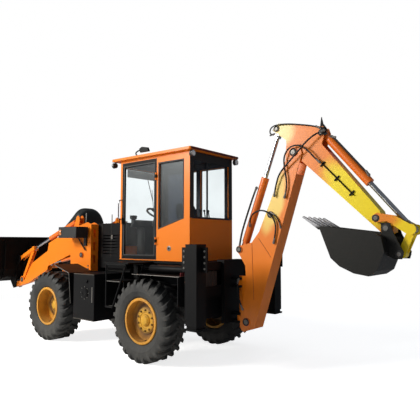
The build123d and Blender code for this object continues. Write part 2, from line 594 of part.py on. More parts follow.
# ---------------------------------------------------------------- backhoe boom, dipper and bucket
BOOM_SIDE = [(-2380, 455), (-2325, 520), (-2350, 760), (-2440, 1130), (-2425, 1375), (-2325, 1530), (-2270, 1590),
             (-2345, 1660), (-2535, 1700), (-2660, 1850), (-3085, 2790), (-3100, 2990), (-3300, 2990), (-3330, 2860),
             (-3191, 2436), (-2569, 520)]
BOOM_PLATE = 14.0
with BuildPart() as boom:
    slab(BOOM_SIDE, (-BOOM_Y, BOOM_Y))
    slab([(-2200, 380), (-2200, 1760), (-2480, 2300), (-2868, 2300), (-3000, 2600),
          (-2900, 2650), (-2900, 3150), (-3500, 3150), (-3500, 2600), (-3230, 2600), (-2561, 540), (-2553, 380)],
         (BOOM_PLATE - BOOM_Y, BOOM_Y - BOOM_PLATE), mode=Mode.SUBTRACT)
    for pin, r in ((BOOM_PIVOT, BIG_PIN_R), (DIPPER_PIVOT, BIG_PIN_R), (DIPPER_BASE, PIN_R), (BOOM_ROD, PIN_R)):
        for side in (1, -1):
            disc(pin, r + 25, span(side, BOOM_Y, BOOM_Y + 14))
    for pin, r in ((BOOM_PIVOT, BIG_PIN_R), (DIPPER_PIVOT, BIG_PIN_R), (DIPPER_BASE, PIN_R)):
        disc(pin, r, (-BOOM_Y, BOOM_Y))
keep(boom, "boom")

with BuildPart() as dipper:
    slab([(-2880, 3235), (-2920, 3305), (-2990, 3315), (-3625, 3172), (-3650, 3100), (-3600, 2950), (-4310, 2070),
          (-4330, 2000), (-4460, 1900), (-4450, 1820), (-4395, 1795), (-4330, 1810), (-3290, 2790), (-3200, 2775),
          (-3100, 2830), (-3090, 3070)], (-DIPPER_Y, DIPPER_Y))
    slab([(-2850, 3100), (-2850, 3400), (-3130, 3400), (-3130, 3170), (-3060, 3090)], (-45, 45),
         mode=Mode.SUBTRACT)
    slab([(-3490, 2990), (-3520, 3300), (-3700, 3300), (-3700, 2850), (-3640, 2850)], (-66, 66), mode=Mode.SUBTRACT)
    for pin in (DIPPER_NOSE, CROWD_BASE):
        for side in (1, -1):
            disc(pin, PIN_R + 20, span(side, DIPPER_Y, DIPPER_Y + 10))
    disc(CROWD_BASE, PIN_R, (-DIPPER_Y, DIPPER_Y))
    for pin, r in ((DIPPER_PIVOT, BIG_PIN_R), (CRANK_PIN, PIN_R), (HOE_PIN, PIN_R)):
        disc(pin, r + RUN_FIT, (-DIPPER_Y - 1, DIPPER_Y + 1), mode=Mode.SUBTRACT)
keep(dipper, "dipper")

PIPE_R = 8.0
PIPE_Y = DIPPER_Y + 14
PIPE_ENDS = [(-3590, 2715), (-4010, 2269)]
PIPE_CLAMPS = (0.06, 0.5, 0.94)       # places along the pipe, as shares of its length
with BuildPart() as dipper_pipe:
    (x0, z0), (x1, z1) = PIPE_ENDS
    bar((x0, PIPE_Y, z0), (x1, PIPE_Y, z1), PIPE_R)
    for share in PIPE_CLAMPS:
        x, z = x0 + share * (x1 - x0), z0 + share * (z1 - z0)
        across = ((z1 - z0) * 0.065, (x0 - x1) * 0.065)
        beam((x - across[0], z - across[1]), (x + across[0], z + across[1]), 9, (DIPPER_Y + SEAT_GAP, PIPE_Y + 4))
keep(dipper_pipe, "dipper_pipe")

LEVER_Y = (112.0, 134.0)
with BuildPart() as hoe_levers:
    for side in (1, -1):
        slab([(-4230, 2010), (-4290, 2045), (-4480, 2010), (-4680, 1890), (-4690, 1820), (-4610, 1800), (-4400, 1945),
              (-4260, 1935)], span(side, *LEVER_Y))
        disc(CROWD_JOINT, JOINT_R, span(side, *LEVER_Y))
        disc(CRANK_PIN, 45, span(side, DIPPER_Y + SEAT_GAP, LEVER_Y[0]))
    disc(CRANK_PIN, PIN_R, (-LEVER_Y[1], LEVER_Y[1]))
keep(hoe_levers, "hoe_levers")

with BuildPart() as hoe_link:
    beam(CROWD_JOINT, EAR_PIN, 42, (-62, 62))
    beam(CROWD_JOINT, EAR_PIN, 43, (-46, 46), mode=Mode.SUBTRACT)
    for side in (1, -1):
        disc(CROWD_JOINT, 48, span(side, 46, LEVER_Y[0] - 1))
    disc(EAR_PIN, 46, (-62, 62))
    disc(EAR_PIN, PIN_R + RUN_FIT, (-63, 63), mode=Mode.SUBTRACT)
keep(hoe_link, "hoe_link")

HOE_HALF_W = 300.0
HOE_SIDE = [(-3640, 1905), (-4300, 1820), (-4385, 1765), (-4420, 1600), (-4330, 1385), (-4240, 1325), (-4070, 1350),
            (-3900, 1425), (-3790, 1520)]
EAR_Y = (136.0, 156.0)
with BuildPart() as hoe_bucket:
    slab(HOE_SIDE, (-HOE_HALF_W, HOE_HALF_W))
    slab([(-3600, 1960), (-3655, 1880), (-3800, 1545), (-3908, 1445), (-4075, 1368), (-4238, 1345), (-4313, 1398),
          (-4400, 1600), (-4368, 1755), (-4290, 1860), (-4290, 1960)],
         (16 - HOE_HALF_W, HOE_HALF_W - 16), mode=Mode.SUBTRACT)
    for side in (1, -1):
        slab([(-4340, 1740), (-4340, 1925), (-4440, 1925), (-4480, 1800), (-4580, 1600), (-4560, 1520), (-4480, 1520),
              (-4400, 1560)], span(side, *EAR_Y))
        disc(HOE_PIN, 45, span(side, DIPPER_Y + SEAT_GAP, EAR_Y[0]))
    disc(HOE_PIN, PIN_R, (-EAR_Y[1], EAR_Y[1]))
    disc(EAR_PIN, PIN_R, (-EAR_Y[1], EAR_Y[1]))
    for tooth_y in (-280, -140, 0, 140, 280):
        slab([(-3660, 1900), (-3440, 2030), (-3425, 2015), (-3640, 1860)], (tooth_y - 20, tooth_y + 20))
keep(hoe_bucket, "hoe_bucket")

# name, base pin, rod pin, barrel length, start of the rod inside it, barrel radius, rod radius, eye width
HOE_CYLINDERS = [
    ("boom", BOOM_BASE, BOOM_ROD, 900.0, 160.0, 52.0, 26.0, 80.0),
    ("dipper", DIPPER_BASE, DIPPER_NOSE, 1070.0, 710.0, 55.0, 27.0, 80.0),
    ("crowd", CROWD_BASE, CROWD_JOINT, 890.0, 745.0, 55.0, 30.0, 80.0)]
for name, base, pin, length, start, outer_r, rod_r, eye_w in HOE_CYLINDERS:
    with BuildPart() as barrel:
        barrel_solid(base, pin, 0, eye_w, outer_r, rod_r, length)
    keep(barrel, f"{name}_barrel")
    with BuildPart() as rod:
        rod_solid(base, pin, 0, eye_w, outer_r, rod_r, start)
    keep(rod, f"{name}_rod")

# ---------------------------------------------------------------- loader arms and bucket
ARM_MID = (ARM_Y[0] + ARM_Y[1]) / 2
ARM_SIDE = [(1060, 1790), (985, 2060), (985, 2150), (1030, 2195), (1075, 2175), (1105, 2100), (1165, 1975),
            (1990, 1690), (2025, 1535), (2590, 1285), (2690, 1178), (2880, 930), (2960, 860), (3060, 900), (3170, 880),
            (3300, 860), (3310, 790), (3235, 760), (2715, 880), (2300, 1057), (2022, 1172), (2010, 1238),
            (1208, 1492), (1100, 1700)]
ARM_SLOT = (ARM_MID - 38, ARM_MID + 38)
with BuildPart() as loader_arms:
    for side in (1, -1):
        slot = span(side, *ARM_SLOT)
        slab(ARM_SIDE, span(side, *ARM_Y))
        for face_y in (ARM_Y[0], ARM_SLOT[1]):
            disc(LEVER_PIN, 70, span(side, face_y, face_y + ARM_SLOT[0] - ARM_Y[0]))
        slab([(900, 2035), (1150, 2035), (1150, 2250), (900, 2250)], slot, mode=Mode.SUBTRACT)
        slab([(1260, 1945), (1980, 1672), (2012, 1540), (2090, 1490), (2090, 1130), (1950, 1100), (1150, 1350),
              (1000, 1560), (1000, 1795), (1150, 1785), (1235, 1800)], slot, mode=Mode.SUBTRACT)
        disc(LEVER_PIN, 62, slot, mode=Mode.SUBTRACT)
        for pin in (BUCKET_PIN, LEVER_PIN):
            disc(pin, PIN_R + RUN_FIT, span(side, ARM_Y[0] - 1, ARM_Y[1] + 1), mode=Mode.SUBTRACT)
        disc(ARM_PIVOT, BIG_PIN_R, span(side, TOWER_Y[0] - 3, TOWER_Y[1] + 23))
        disc(TILT_BASE, PIN_R, span(side, *ARM_Y))
        for face_y in (ARM_Y[0] - 6, ARM_Y[1]):
            disc(LIFT_ROD, PIN_R + 15, span(side, face_y, face_y + 6))
    bar((2350, -ARM_Y[0], 1240), (2350, ARM_Y[0], 1240), 65)
keep(loader_arms, "loader_arms")

LEVER_DY = (18.0, 33.0)
LINK_DY = (34.0, 49.0)
with BuildPart() as tilt_levers:
    for side in (1, -1):
        for dy in (LEVER_DY, (-LEVER_DY[1], -LEVER_DY[0])):
            y = span(side, ARM_MID + dy[0], ARM_MID + dy[1])
            beam(TILT_JOINT, LEVER_PIN, 35, y)
            disc(LEVER_PIN, 48, y)
            disc(TILT_JOINT, 48, y)
        beam(along(TILT_JOINT, LEVER_PIN, 260), LEVER_PIN, 30, span(side, ARM_MID - 20, ARM_MID + 20))
        disc(LEVER_PIN, PIN_R, span(side, *ARM_Y))
keep(tilt_levers, "tilt_levers")

with BuildPart() as tilt_links:
    for side in (1, -1):
        for dy in (LINK_DY, (-LINK_DY[1], -LINK_DY[0])):
            y = span(side, ARM_MID + dy[0], ARM_MID + dy[1])
            beam(TILT_JOINT, LINK_PIN, 35, y)
            disc(TILT_JOINT, 45, y)
            disc(LINK_PIN, 45, y)
            disc(LINK_PIN, PIN_R + RUN_FIT, y, mode=Mode.SUBTRACT)
keep(tilt_links, "tilt_links")

BUCKET_SIDE = [(3170, 1815), (3185, 1150), (3250, 985), (3420, 890), (LIP_X, 1030), (LIP_X, 1045), (3330, 1815)]
with BuildPart() as loader_bucket:
    slab(BUCKET_SIDE, (-BUCKET_HALF_W, BUCKET_HALF_W))
    slab([(3190, 1900), (3205, 1155), (3265, 1000), (3424, 912), (LIP_X + 50, 1052), (LIP_X + 50, 1900)],
         (20 - BUCKET_HALF_W, BUCKET_HALF_W - 20), mode=Mode.SUBTRACT)
    for side in (1, -1):
        for ear in ((ARM_Y[0] - 25, ARM_Y[0] - 5), (ARM_Y[1] + 5, ARM_Y[1] + 25)):
            slab([(3178, 1450), (3050, 1410), (3040, 1330), (3170, 1200), (3190, 900), (3200, 760), (3290, 740),
                  (3420, 890), (3240, 1000), (3190, 1150)], span(side, *ear))
        for pin in (BUCKET_PIN, LINK_PIN):
            disc(pin, PIN_R, span(side, ARM_Y[0] - 25, ARM_Y[1] + 25))
        for rib_y in (250, 780):
            slab([(3172, 1740), (3115, 1600), (3125, 1180), (3200, 975), (3420, 892), (3250, 990), (3188, 1150)],
                 span(side, rib_y, rib_y + 16))
keep(loader_bucket, "loader_bucket")

# ..., reach of the base pin from the middle of the eye
LOADER_CYLINDERS = [
    ("lift", LIFT_BASE, LIFT_ROD, 760.0, 300.0, 32.0, 18.0, 50.0, 90.0),
    ("tilt", TILT_BASE, TILT_JOINT, 1010.0, 230.0, 45.0, 24.0, 30.0, 0.0)]
for name, base, pin, length, start, outer_r, rod_r, eye_w, pin_reach in LOADER_CYLINDERS:
    with BuildPart() as barrel:
        for side in (1, -1):
            barrel_solid(base, pin, side * ARM_MID, eye_w, outer_r, rod_r, length, pin_reach)
    keep(barrel, f"{name}_barrels")
    with BuildPart() as rod:
        for side in (1, -1):
            rod_solid(base, pin, side * ARM_MID, eye_w, outer_r, rod_r, start)
    keep(rod, f"{name}_rods")
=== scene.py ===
"""Looks for the backhoe loader: procedural finishes, small fittings and a plain pale studio.

The scene is in metres in the row frame: +X to the loader bucket, +Y to the machine's left,
+Z up, with the origin on the ground under the middle of the machine's length. Tables of sizes
in millimetres are measured from the middle of the wheelbase, and place and spots turn them
into row metres.
"""
import logging
from dataclasses import dataclass, field
from enum import Enum
from math import cos, pi, radians, sin

import bpy
import numpy as np
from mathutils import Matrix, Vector


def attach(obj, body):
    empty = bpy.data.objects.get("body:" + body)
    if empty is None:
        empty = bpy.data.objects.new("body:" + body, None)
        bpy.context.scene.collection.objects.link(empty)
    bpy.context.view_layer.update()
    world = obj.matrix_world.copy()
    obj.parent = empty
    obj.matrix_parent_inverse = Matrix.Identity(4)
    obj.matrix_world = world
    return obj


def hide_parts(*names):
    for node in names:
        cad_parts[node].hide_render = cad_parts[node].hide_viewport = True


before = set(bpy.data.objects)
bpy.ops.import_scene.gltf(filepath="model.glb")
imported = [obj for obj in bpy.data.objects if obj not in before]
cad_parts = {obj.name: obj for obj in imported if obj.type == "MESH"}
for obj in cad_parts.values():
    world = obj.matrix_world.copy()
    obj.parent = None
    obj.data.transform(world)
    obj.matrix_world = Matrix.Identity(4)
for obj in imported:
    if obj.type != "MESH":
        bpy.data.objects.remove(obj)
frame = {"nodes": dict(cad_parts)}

LOG = logging.getLogger("backhoe")
AXLE_SHIFT = 0.280      # from the middle of the wheelbase to the row origin
FRONT_X, REAR_X = 1217.5, -1217.5      # axles, from the middle of the wheelbase
WHEEL_Y, WHEEL_Z = 0.811, 0.590      # a tyre's centre plane and its axle's height, in metres
SIDES = (("left", 1.0), ("right", -1.0))

Point = tuple[float, float, float]
Pairs = tuple[tuple[float, float], ...]
Mesh = tuple[np.ndarray, np.ndarray]      # vertices and quads
Value = bpy.types.NodeSocket | float | tuple[float, ...]      # what feeds a shader's input


def place(x: float, y: float, z: float) -> Point:
    """Turn millimetres measured from the middle of the wheelbase into row metres.

    Args:
        x: Millimetres ahead of the middle of the wheelbase.
        y: Millimetres to the left of the centre plane.
        z: Millimetres above the ground.

    Returns:
        The point in the row frame, in metres.
    """
    return (x / 1000.0 + AXLE_SHIFT, y / 1000.0, z / 1000.0)


# ------------------------------------------------------------------ finishes
class Kind(Enum):
    """Families of finish, one shader recipe each."""

    PAINT = "paint"
    RUBBER = "rubber"
    CHROME = "chrome"
    GLASS = "glass"
    STEEL = "steel"
    PLASTIC = "plastic"
    FABRIC = "fabric"
    LENS = "lens"


@dataclass(frozen=True)
class Finish:
    """One procedural finish.

    Attributes:
        name: Name of the material.
        kind: Recipe that builds it.
        base: Linear colour of the clean surface.
        soil: Linear colour of what lies on it.
        rough: Roughness of the clean surface.
        soiling: Share of the surface that the soil covers, from 0 to 1.
        chips: Share of the edges and flats worn through to primer.
        coat: Weight of the clear coat.
        specular: Strength of the reflection straight on.
        patches: Regions of another colour, among them painted highlights and painted shade.
    """

    name: str
    kind: Kind
    base: Point
    soil: Point = (0.10, 0.085, 0.065)
    rough: float = 0.4
    soiling: float = 0.25
    chips: float = 0.15
    coat: float = 0.0
    specular: float = 0.35
    patches: "tuple[Patch, ...]" = ()


@dataclass(frozen=True)
class Patch:
    """Soft-edged region of another colour, such as a second tone of paint, a painted highlight or painted
    shade.

    Attributes:
        colour: Linear colour inside it.
        centre: Middle of the region in row metres.
        radii: Half lengths along its own axes, in metres.
        tilt: Turn about +Y, in degrees.
    """

    colour: Point
    centre: Point
    radii: Point
    tilt: float = 0.0


LEMON = (0.96, 0.74, 0.012)
# painted highlight: pale straw for the sunlit stretch of the boom's side
BOOM_HIGHLIGHT = (0.93, 0.64, 0.15)
ORANGE = Finish("orange_paint", Kind.PAINT, (0.86, 0.21, 0.010), rough=0.40, soiling=0.13, chips=0.10,
                coat=0.08, specular=0.2)
# the boom's paint carries a painted highlight patch in pale straw
BOOM_ORANGE = Finish("boom_paint", Kind.PAINT, (0.86, 0.215, 0.014), rough=0.38, soiling=0.14, chips=0.04,
                     coat=0.15, patches=(Patch(BOOM_HIGHLIGHT, place(-2900, 0, 2260), (0.18, 2.0, 0.46), -18.0),))
# a lemon patch over the dipper's lower end, and a pale cream patch at its tail that is a painted highlight
DIPPER_TONE_AND_HIGHLIGHT_PATCHES = (Patch(LEMON, place(-4060, 0, 2260), (0.62, 2.0, 0.30), -47.0),
                  Patch((0.92, 0.70, 0.26), place(-2985, 0, 3190), (0.25, 2.0, 0.22)))
DIPPER_ORANGE = Finish("dipper_paint", Kind.PAINT, (0.86, 0.225, 0.016), rough=0.38, soiling=0.15,
                       chips=0.03, coat=0.15, patches=DIPPER_TONE_AND_HIGHLIGHT_PATCHES)
LEVER_YELLOW = Finish("lever_paint", Kind.PAINT, (0.95, 0.68, 0.014), rough=0.38, soiling=0.18, chips=0.2,
                      coat=0.15, patches=(Patch((0.86, 0.26, 0.02), place(-4275, 0, 1985),
                                                (0.30, 2.0, 0.20)),))
BARREL_ORANGE = Finish("barrel_paint", Kind.PAINT, (0.80, 0.165, 0.012), rough=0.33, soiling=0.2, chips=0.15,
                       coat=0.2)
# painted shade: a dark ring in the dish of every wheel where shade falls, and a brighter ring on its hub that
# is partly dust and partly painted light
RIM_SHADE_AND_LIGHT_RINGS = (((0.085, 0.027, 0.006), 0.02, 0.30, 0.125), ((0.80, 0.42, 0.020), 0.06, 0.19, 0.10))
RIM_SHADE_AND_LIGHT_PATCHES = tuple(
    Patch(colour, (x, side * (WHEEL_Y + shift), WHEEL_Z), (radius, depth, radius))
    for colour, shift, radius, depth in RIM_SHADE_AND_LIGHT_RINGS
    for x in (place(FRONT_X, 0, 0)[0], place(REAR_X, 0, 0)[0]) for side in (1, -1))
RIM_YELLOW = Finish("rim_paint", Kind.PAINT, (0.74, 0.33, 0.028), soil=(0.15, 0.11, 0.06), rough=0.45,
                    soiling=0.36, chips=0.12, coat=0.05, patches=RIM_SHADE_AND_LIGHT_PATCHES)
BLACK = Finish("black_paint", Kind.PAINT, (0.0045, 0.0045, 0.005), soil=(0.017, 0.0155, 0.0135), rough=0.5,
               soiling=0.12, chips=0.04, coat=0.0, specular=0.12)
COWL = Finish("cowl_paint", Kind.PAINT, (0.010, 0.013, 0.011), soil=(0.03, 0.028, 0.025), rough=0.40,
              soiling=0.12, chips=0.03, coat=0.1, specular=0.3)
GREY = Finish("grey_paint", Kind.PAINT, (0.060, 0.053, 0.042), rough=0.5, soiling=0.2, chips=0.1)
HOE_STEEL = Finish("hoe_bucket_steel", Kind.STEEL, (0.017, 0.0165, 0.015), soil=(0.05, 0.042, 0.034),
                   rough=0.5, soiling=0.2, chips=0.12, specular=0.25,
                   patches=(Patch((0.34, 0.34, 0.36), place(-3530, 0, 1985), (0.16, 2.0, 0.07), -30.0),))
LOADER_STEEL = Finish("loader_bucket_steel", Kind.STEEL, (0.006, 0.005, 0.0045), soil=(0.016, 0.012, 0.010),
                      rough=0.62, soiling=0.12, chips=0.05, specular=0.12)
CAST = Finish("cast_parts", Kind.STEEL, (0.035, 0.034, 0.033), soil=(0.05, 0.045, 0.04), rough=0.6,
              soiling=0.3, chips=0.05)
RUBBER = Finish("tyre_rubber", Kind.RUBBER, (0.014, 0.014, 0.0145), soil=(0.115, 0.112, 0.102), rough=0.62,
                soiling=0.40, specular=0.45)
HOSE = Finish("hose_rubber", Kind.RUBBER, (0.006, 0.006, 0.006), soil=(0.03, 0.028, 0.025), rough=0.5,
              soiling=0.1)
CHROME = Finish("rod_chrome", Kind.CHROME, (0.46, 0.47, 0.49), rough=0.16)
GLASS = Finish("window_glass", Kind.GLASS, (0.965, 0.982, 0.985), rough=0.35)
SEAT = Finish("seat_cloth", Kind.FABRIC, (0.018, 0.018, 0.021), rough=0.9)
PLASTIC = Finish("black_plastic", Kind.PLASTIC, (0.010, 0.010, 0.010), rough=0.5)
WHITE_LENS = Finish("white_lens", Kind.LENS, (0.85, 0.87, 0.88), rough=0.12)
AMBER_LENS = Finish("amber_lens", Kind.LENS, (0.75, 0.22, 0.02), rough=0.15)
RED_LENS = Finish("red_lens", Kind.LENS, (0.30, 0.012, 0.010), rough=0.15)
CAST_ZINC = Finish("wheel_nuts", Kind.STEEL, (0.22, 0.13, 0.035), rough=0.45, soiling=0.3, chips=0.2)
# painted shade: maroon for the roof's orange rear edge, darkened where shade falls on it
ROOF_EDGE_SHADE = Finish("roof_edge_painted_shade", Kind.PAINT, (0.11, 0.019, 0.012), rough=0.5, soiling=0.2, chips=0.1,
                specular=0.2)
LINING = Finish("cab_lining", Kind.PLASTIC, (0.0045, 0.006, 0.012), rough=0.75)
TINT = Finish("quarter_tint", Kind.GLASS, (0.15, 0.17, 0.21), rough=0.35)
DARK_ORANGE = Finish("shaded_orange", Kind.PAINT, (0.42, 0.085, 0.012), rough=0.5, soiling=0.3, chips=0.1)
SEALING = Finish("seal_rubber", Kind.PLASTIC, (0.006, 0.006, 0.0065), rough=0.6)
CREAM = Finish("visor_board", Kind.PLASTIC, (0.62, 0.62, 0.60), rough=0.7)
ZINC = Finish("zinc", Kind.STEEL, (0.19, 0.18, 0.165), soil=(0.08, 0.07, 0.06), rough=0.38, soiling=0.15,
              chips=0.1)


class Graph:
    """Small typed wrapper round a shader node tree."""

    def __init__(self, tree: bpy.types.NodeTree) -> None:
        """Wrap a tree.

        Args:
            tree: Node tree of a material or a group.
        """
        self.tree = tree

    def add(self, kind: str, **inputs: Value) -> bpy.types.Node:
        """Add a node and set or link its inputs.

        Args:
            kind: Blender's node type, such as "ShaderNodeMix".
            **inputs: Input name with underscores for spaces, to a value or an output socket.

        Returns:
            The new node.
        """
        node = self.tree.nodes.new(kind)
        for name, value in inputs.items():
            self.feed(node.inputs[name.replace("_", " ")], value)
        return node

    def feed(self, socket: bpy.types.NodeSocket, value: Value) -> None:
        """Link an output socket to an input, or set its value.

        Args:
            socket: Input socket.
            value: Output socket, number or colour.
        """
        if isinstance(value, bpy.types.NodeSocket):
            self.tree.links.new(value, socket)
        elif isinstance(value, tuple) and len(socket.default_value) == 4:
            socket.default_value = (*value, 1.0)
        else:
            socket.default_value = value

    def math(self, operation: str, *values: Value) -> bpy.types.NodeSocket:
        """Add a math node.

        Args:
            operation: Blender's operation name.
            *values: Its two or three inputs.

        Returns:
            The output socket.
        """
        node = self.tree.nodes.new("ShaderNodeMath")
        node.operation = operation
        for socket, value in zip(node.inputs, values):
            self.feed(socket, value)
        return node.outputs[0]

    def mix(self, factor: Value, a: Value, b: Value) -> bpy.types.NodeSocket:
        """Mix two colours.

        Args:
            factor: Share of b.
            a: First colour or socket.
            b: Second colour or socket.

        Returns:
            The colour output.
        """
        node = self.tree.nodes.new("ShaderNodeMix")
        node.data_type = "RGBA"
        self.feed(node.inputs[0], factor)
        self.feed(node.inputs[6], a)
        self.feed(node.inputs[7], b)
        return node.outputs[2]

    def noise(self, vector: Value, scale: float, detail: float = 4.0,
              rough: float = 0.55) -> bpy.types.NodeSocket:
        """Add a 3-D noise.

        Args:
            vector: Coordinates.
            scale: Features per metre.
            detail: Octaves.
            rough: Weight of the finer octaves.

        Returns:
            The factor output.
        """
        node = self.add("ShaderNodeTexNoise", Vector=vector, Scale=scale, Detail=detail, Roughness=rough)
        return node.outputs[0]

    def blend(self, factor: Value, first: Value, second: Value) -> bpy.types.NodeSocket:
        """Mix two shaders.

        Args:
            factor: Share of the second.
            first: First shader.
            second: Second shader.

        Returns:
            The shader output.
        """
        node = self.tree.nodes.new("ShaderNodeMixShader")
        for socket, value in zip(node.inputs, (factor, first, second)):
            self.feed(socket, value)
        return node.outputs[0]

    def where(self) -> bpy.types.NodeSocket:
        """Return the Object coordinates."""
        return self.add("ShaderNodeTexCoord").outputs["Object"]

    def length(self, vector: Value) -> bpy.types.NodeSocket:
        """Measure a vector.

        Args:
            vector: Vector output.

        Returns:
            The length output.
        """
        node = self.tree.nodes.new("ShaderNodeVectorMath")
        node.operation = "LENGTH"
        self.feed(node.inputs[0], vector)
        return node.outputs["Value"]

    def ramp(self, value: Value, low: float, high: float) -> bpy.types.NodeSocket:
        """Stretch a range to 0..1 and clamp it.

        Args:
            value: Input.
            low: Value that becomes 0.
            high: Value that becomes 1.

        Returns:
            The clamped output.
        """
        node = self.add("ShaderNodeMapRange", Value=value)
        node.inputs["From Min"].default_value = low
        node.inputs["From Max"].default_value = high
        node.interpolation_type = "SMOOTHSTEP"
        return node.outputs[0]


class WearGroup:
    """Shared node group: dust, streaks, chips and a fine surface height, from object coordinates.

    The soil is a sum of broad patches, upright streaks, fine grain, nearness to the ground and how
    far the surface faces up, ramped above a level that the soiling lowers. A chip shows where the
    product of a fine and a broad noise passes a limit that the chips input lowers.
    """

    NAME = "wear"

    @classmethod
    def get(cls) -> bpy.types.NodeTree:
        """Return the group, made on first use.

        Returns:
            The shader node group.
        """
        tree = bpy.data.node_groups.get(cls.NAME)
        return tree or cls._build()

    @classmethod
    def _build(cls) -> bpy.types.NodeTree:
        """Make the group's sockets and nodes.

        Returns:
            The new group.
        """
        tree = bpy.data.node_groups.new(cls.NAME, "ShaderNodeTree")
        face = tree.interface
        for name, kind, value in (("Base", "NodeSocketColor", (0.5, 0.5, 0.5, 1)),
                                  ("Soil", "NodeSocketColor", (0.1, 0.09, 0.07, 1)),
                                  ("Bare", "NodeSocketColor", (0.12, 0.07, 0.045, 1)),
                                  ("Soiling", "NodeSocketFloat", 0.3), ("Chips", "NodeSocketFloat", 0.1),
                                  ("Rough", "NodeSocketFloat", 0.4)):
            face.new_socket(name, in_out="INPUT", socket_type=kind).default_value = value
        for name, kind in (("Colour", "NodeSocketColor"), ("Roughness", "NodeSocketFloat"),
                           ("Height", "NodeSocketFloat")):
            face.new_socket(name, in_out="OUTPUT", socket_type=kind)
        g = Graph(tree)
        inp, out = g.add("NodeGroupInput"), g.add("NodeGroupOutput")
        where = g.where()
        parts = g.add("ShaderNodeSeparateXYZ", Vector=where)
        tall = g.add("ShaderNodeMapping", Vector=where)
        tall.inputs["Scale"].default_value = (9.0, 9.0, 0.9)
        patches = g.noise(where, 1.6, 5.0, 0.6)
        grain = g.noise(where, 38.0, 4.0, 0.6)
        streaks = g.noise(tall.outputs[0], 1.0, 5.0, 0.65)
        low = g.ramp(parts.outputs["Z"], 2.2, 0.2)
        upward = g.add("ShaderNodeSeparateXYZ", Vector=g.add("ShaderNodeNewGeometry").outputs["Normal"])
        flat = g.ramp(upward.outputs["Z"], 0.35, 0.95)
        cover = g.math("ADD", g.math("MULTIPLY", patches, 0.75), g.math("MULTIPLY", streaks, 0.55))
        cover = g.math("ADD", cover, g.math("ADD", g.math("MULTIPLY", low, 0.35),
                                            g.math("MULTIPLY", flat, 0.16)))
        cover = g.math("ADD", cover, g.math("MULTIPLY", grain, 0.25))
        level = g.math("SUBTRACT", 1.42, inp.outputs["Soiling"])
        soil = g.math("MULTIPLY", g.ramp(g.math("SUBTRACT", cover, level), -0.25, 0.55), 0.82)
        flakes = g.math("MULTIPLY", g.noise(where, 24.0, 6.0, 0.7), g.noise(where, 3.1, 2.0, 0.5))
        limit = g.math("SUBTRACT", 0.50, g.math("MULTIPLY", inp.outputs["Chips"], 0.45))
        chipped = g.math("GREATER_THAN", flakes, limit)
        colour = g.mix(chipped, inp.outputs["Base"], inp.outputs["Bare"])
        colour = g.mix(soil, colour, inp.outputs["Soil"])
        rough = g.math("ADD", inp.outputs["Rough"], g.math("MULTIPLY", soil, 0.42))
        rough = g.math("ADD", rough, g.math("MULTIPLY", g.math("SUBTRACT", grain, 0.5), 0.14))
        height = g.math("ADD", g.math("MULTIPLY", grain, 0.35), g.math("MULTIPLY", chipped, -0.5))
        g.feed(out.inputs["Colour"], colour)
        g.feed(out.inputs["Roughness"], rough)
        g.feed(out.inputs["Height"], height)
        return tree


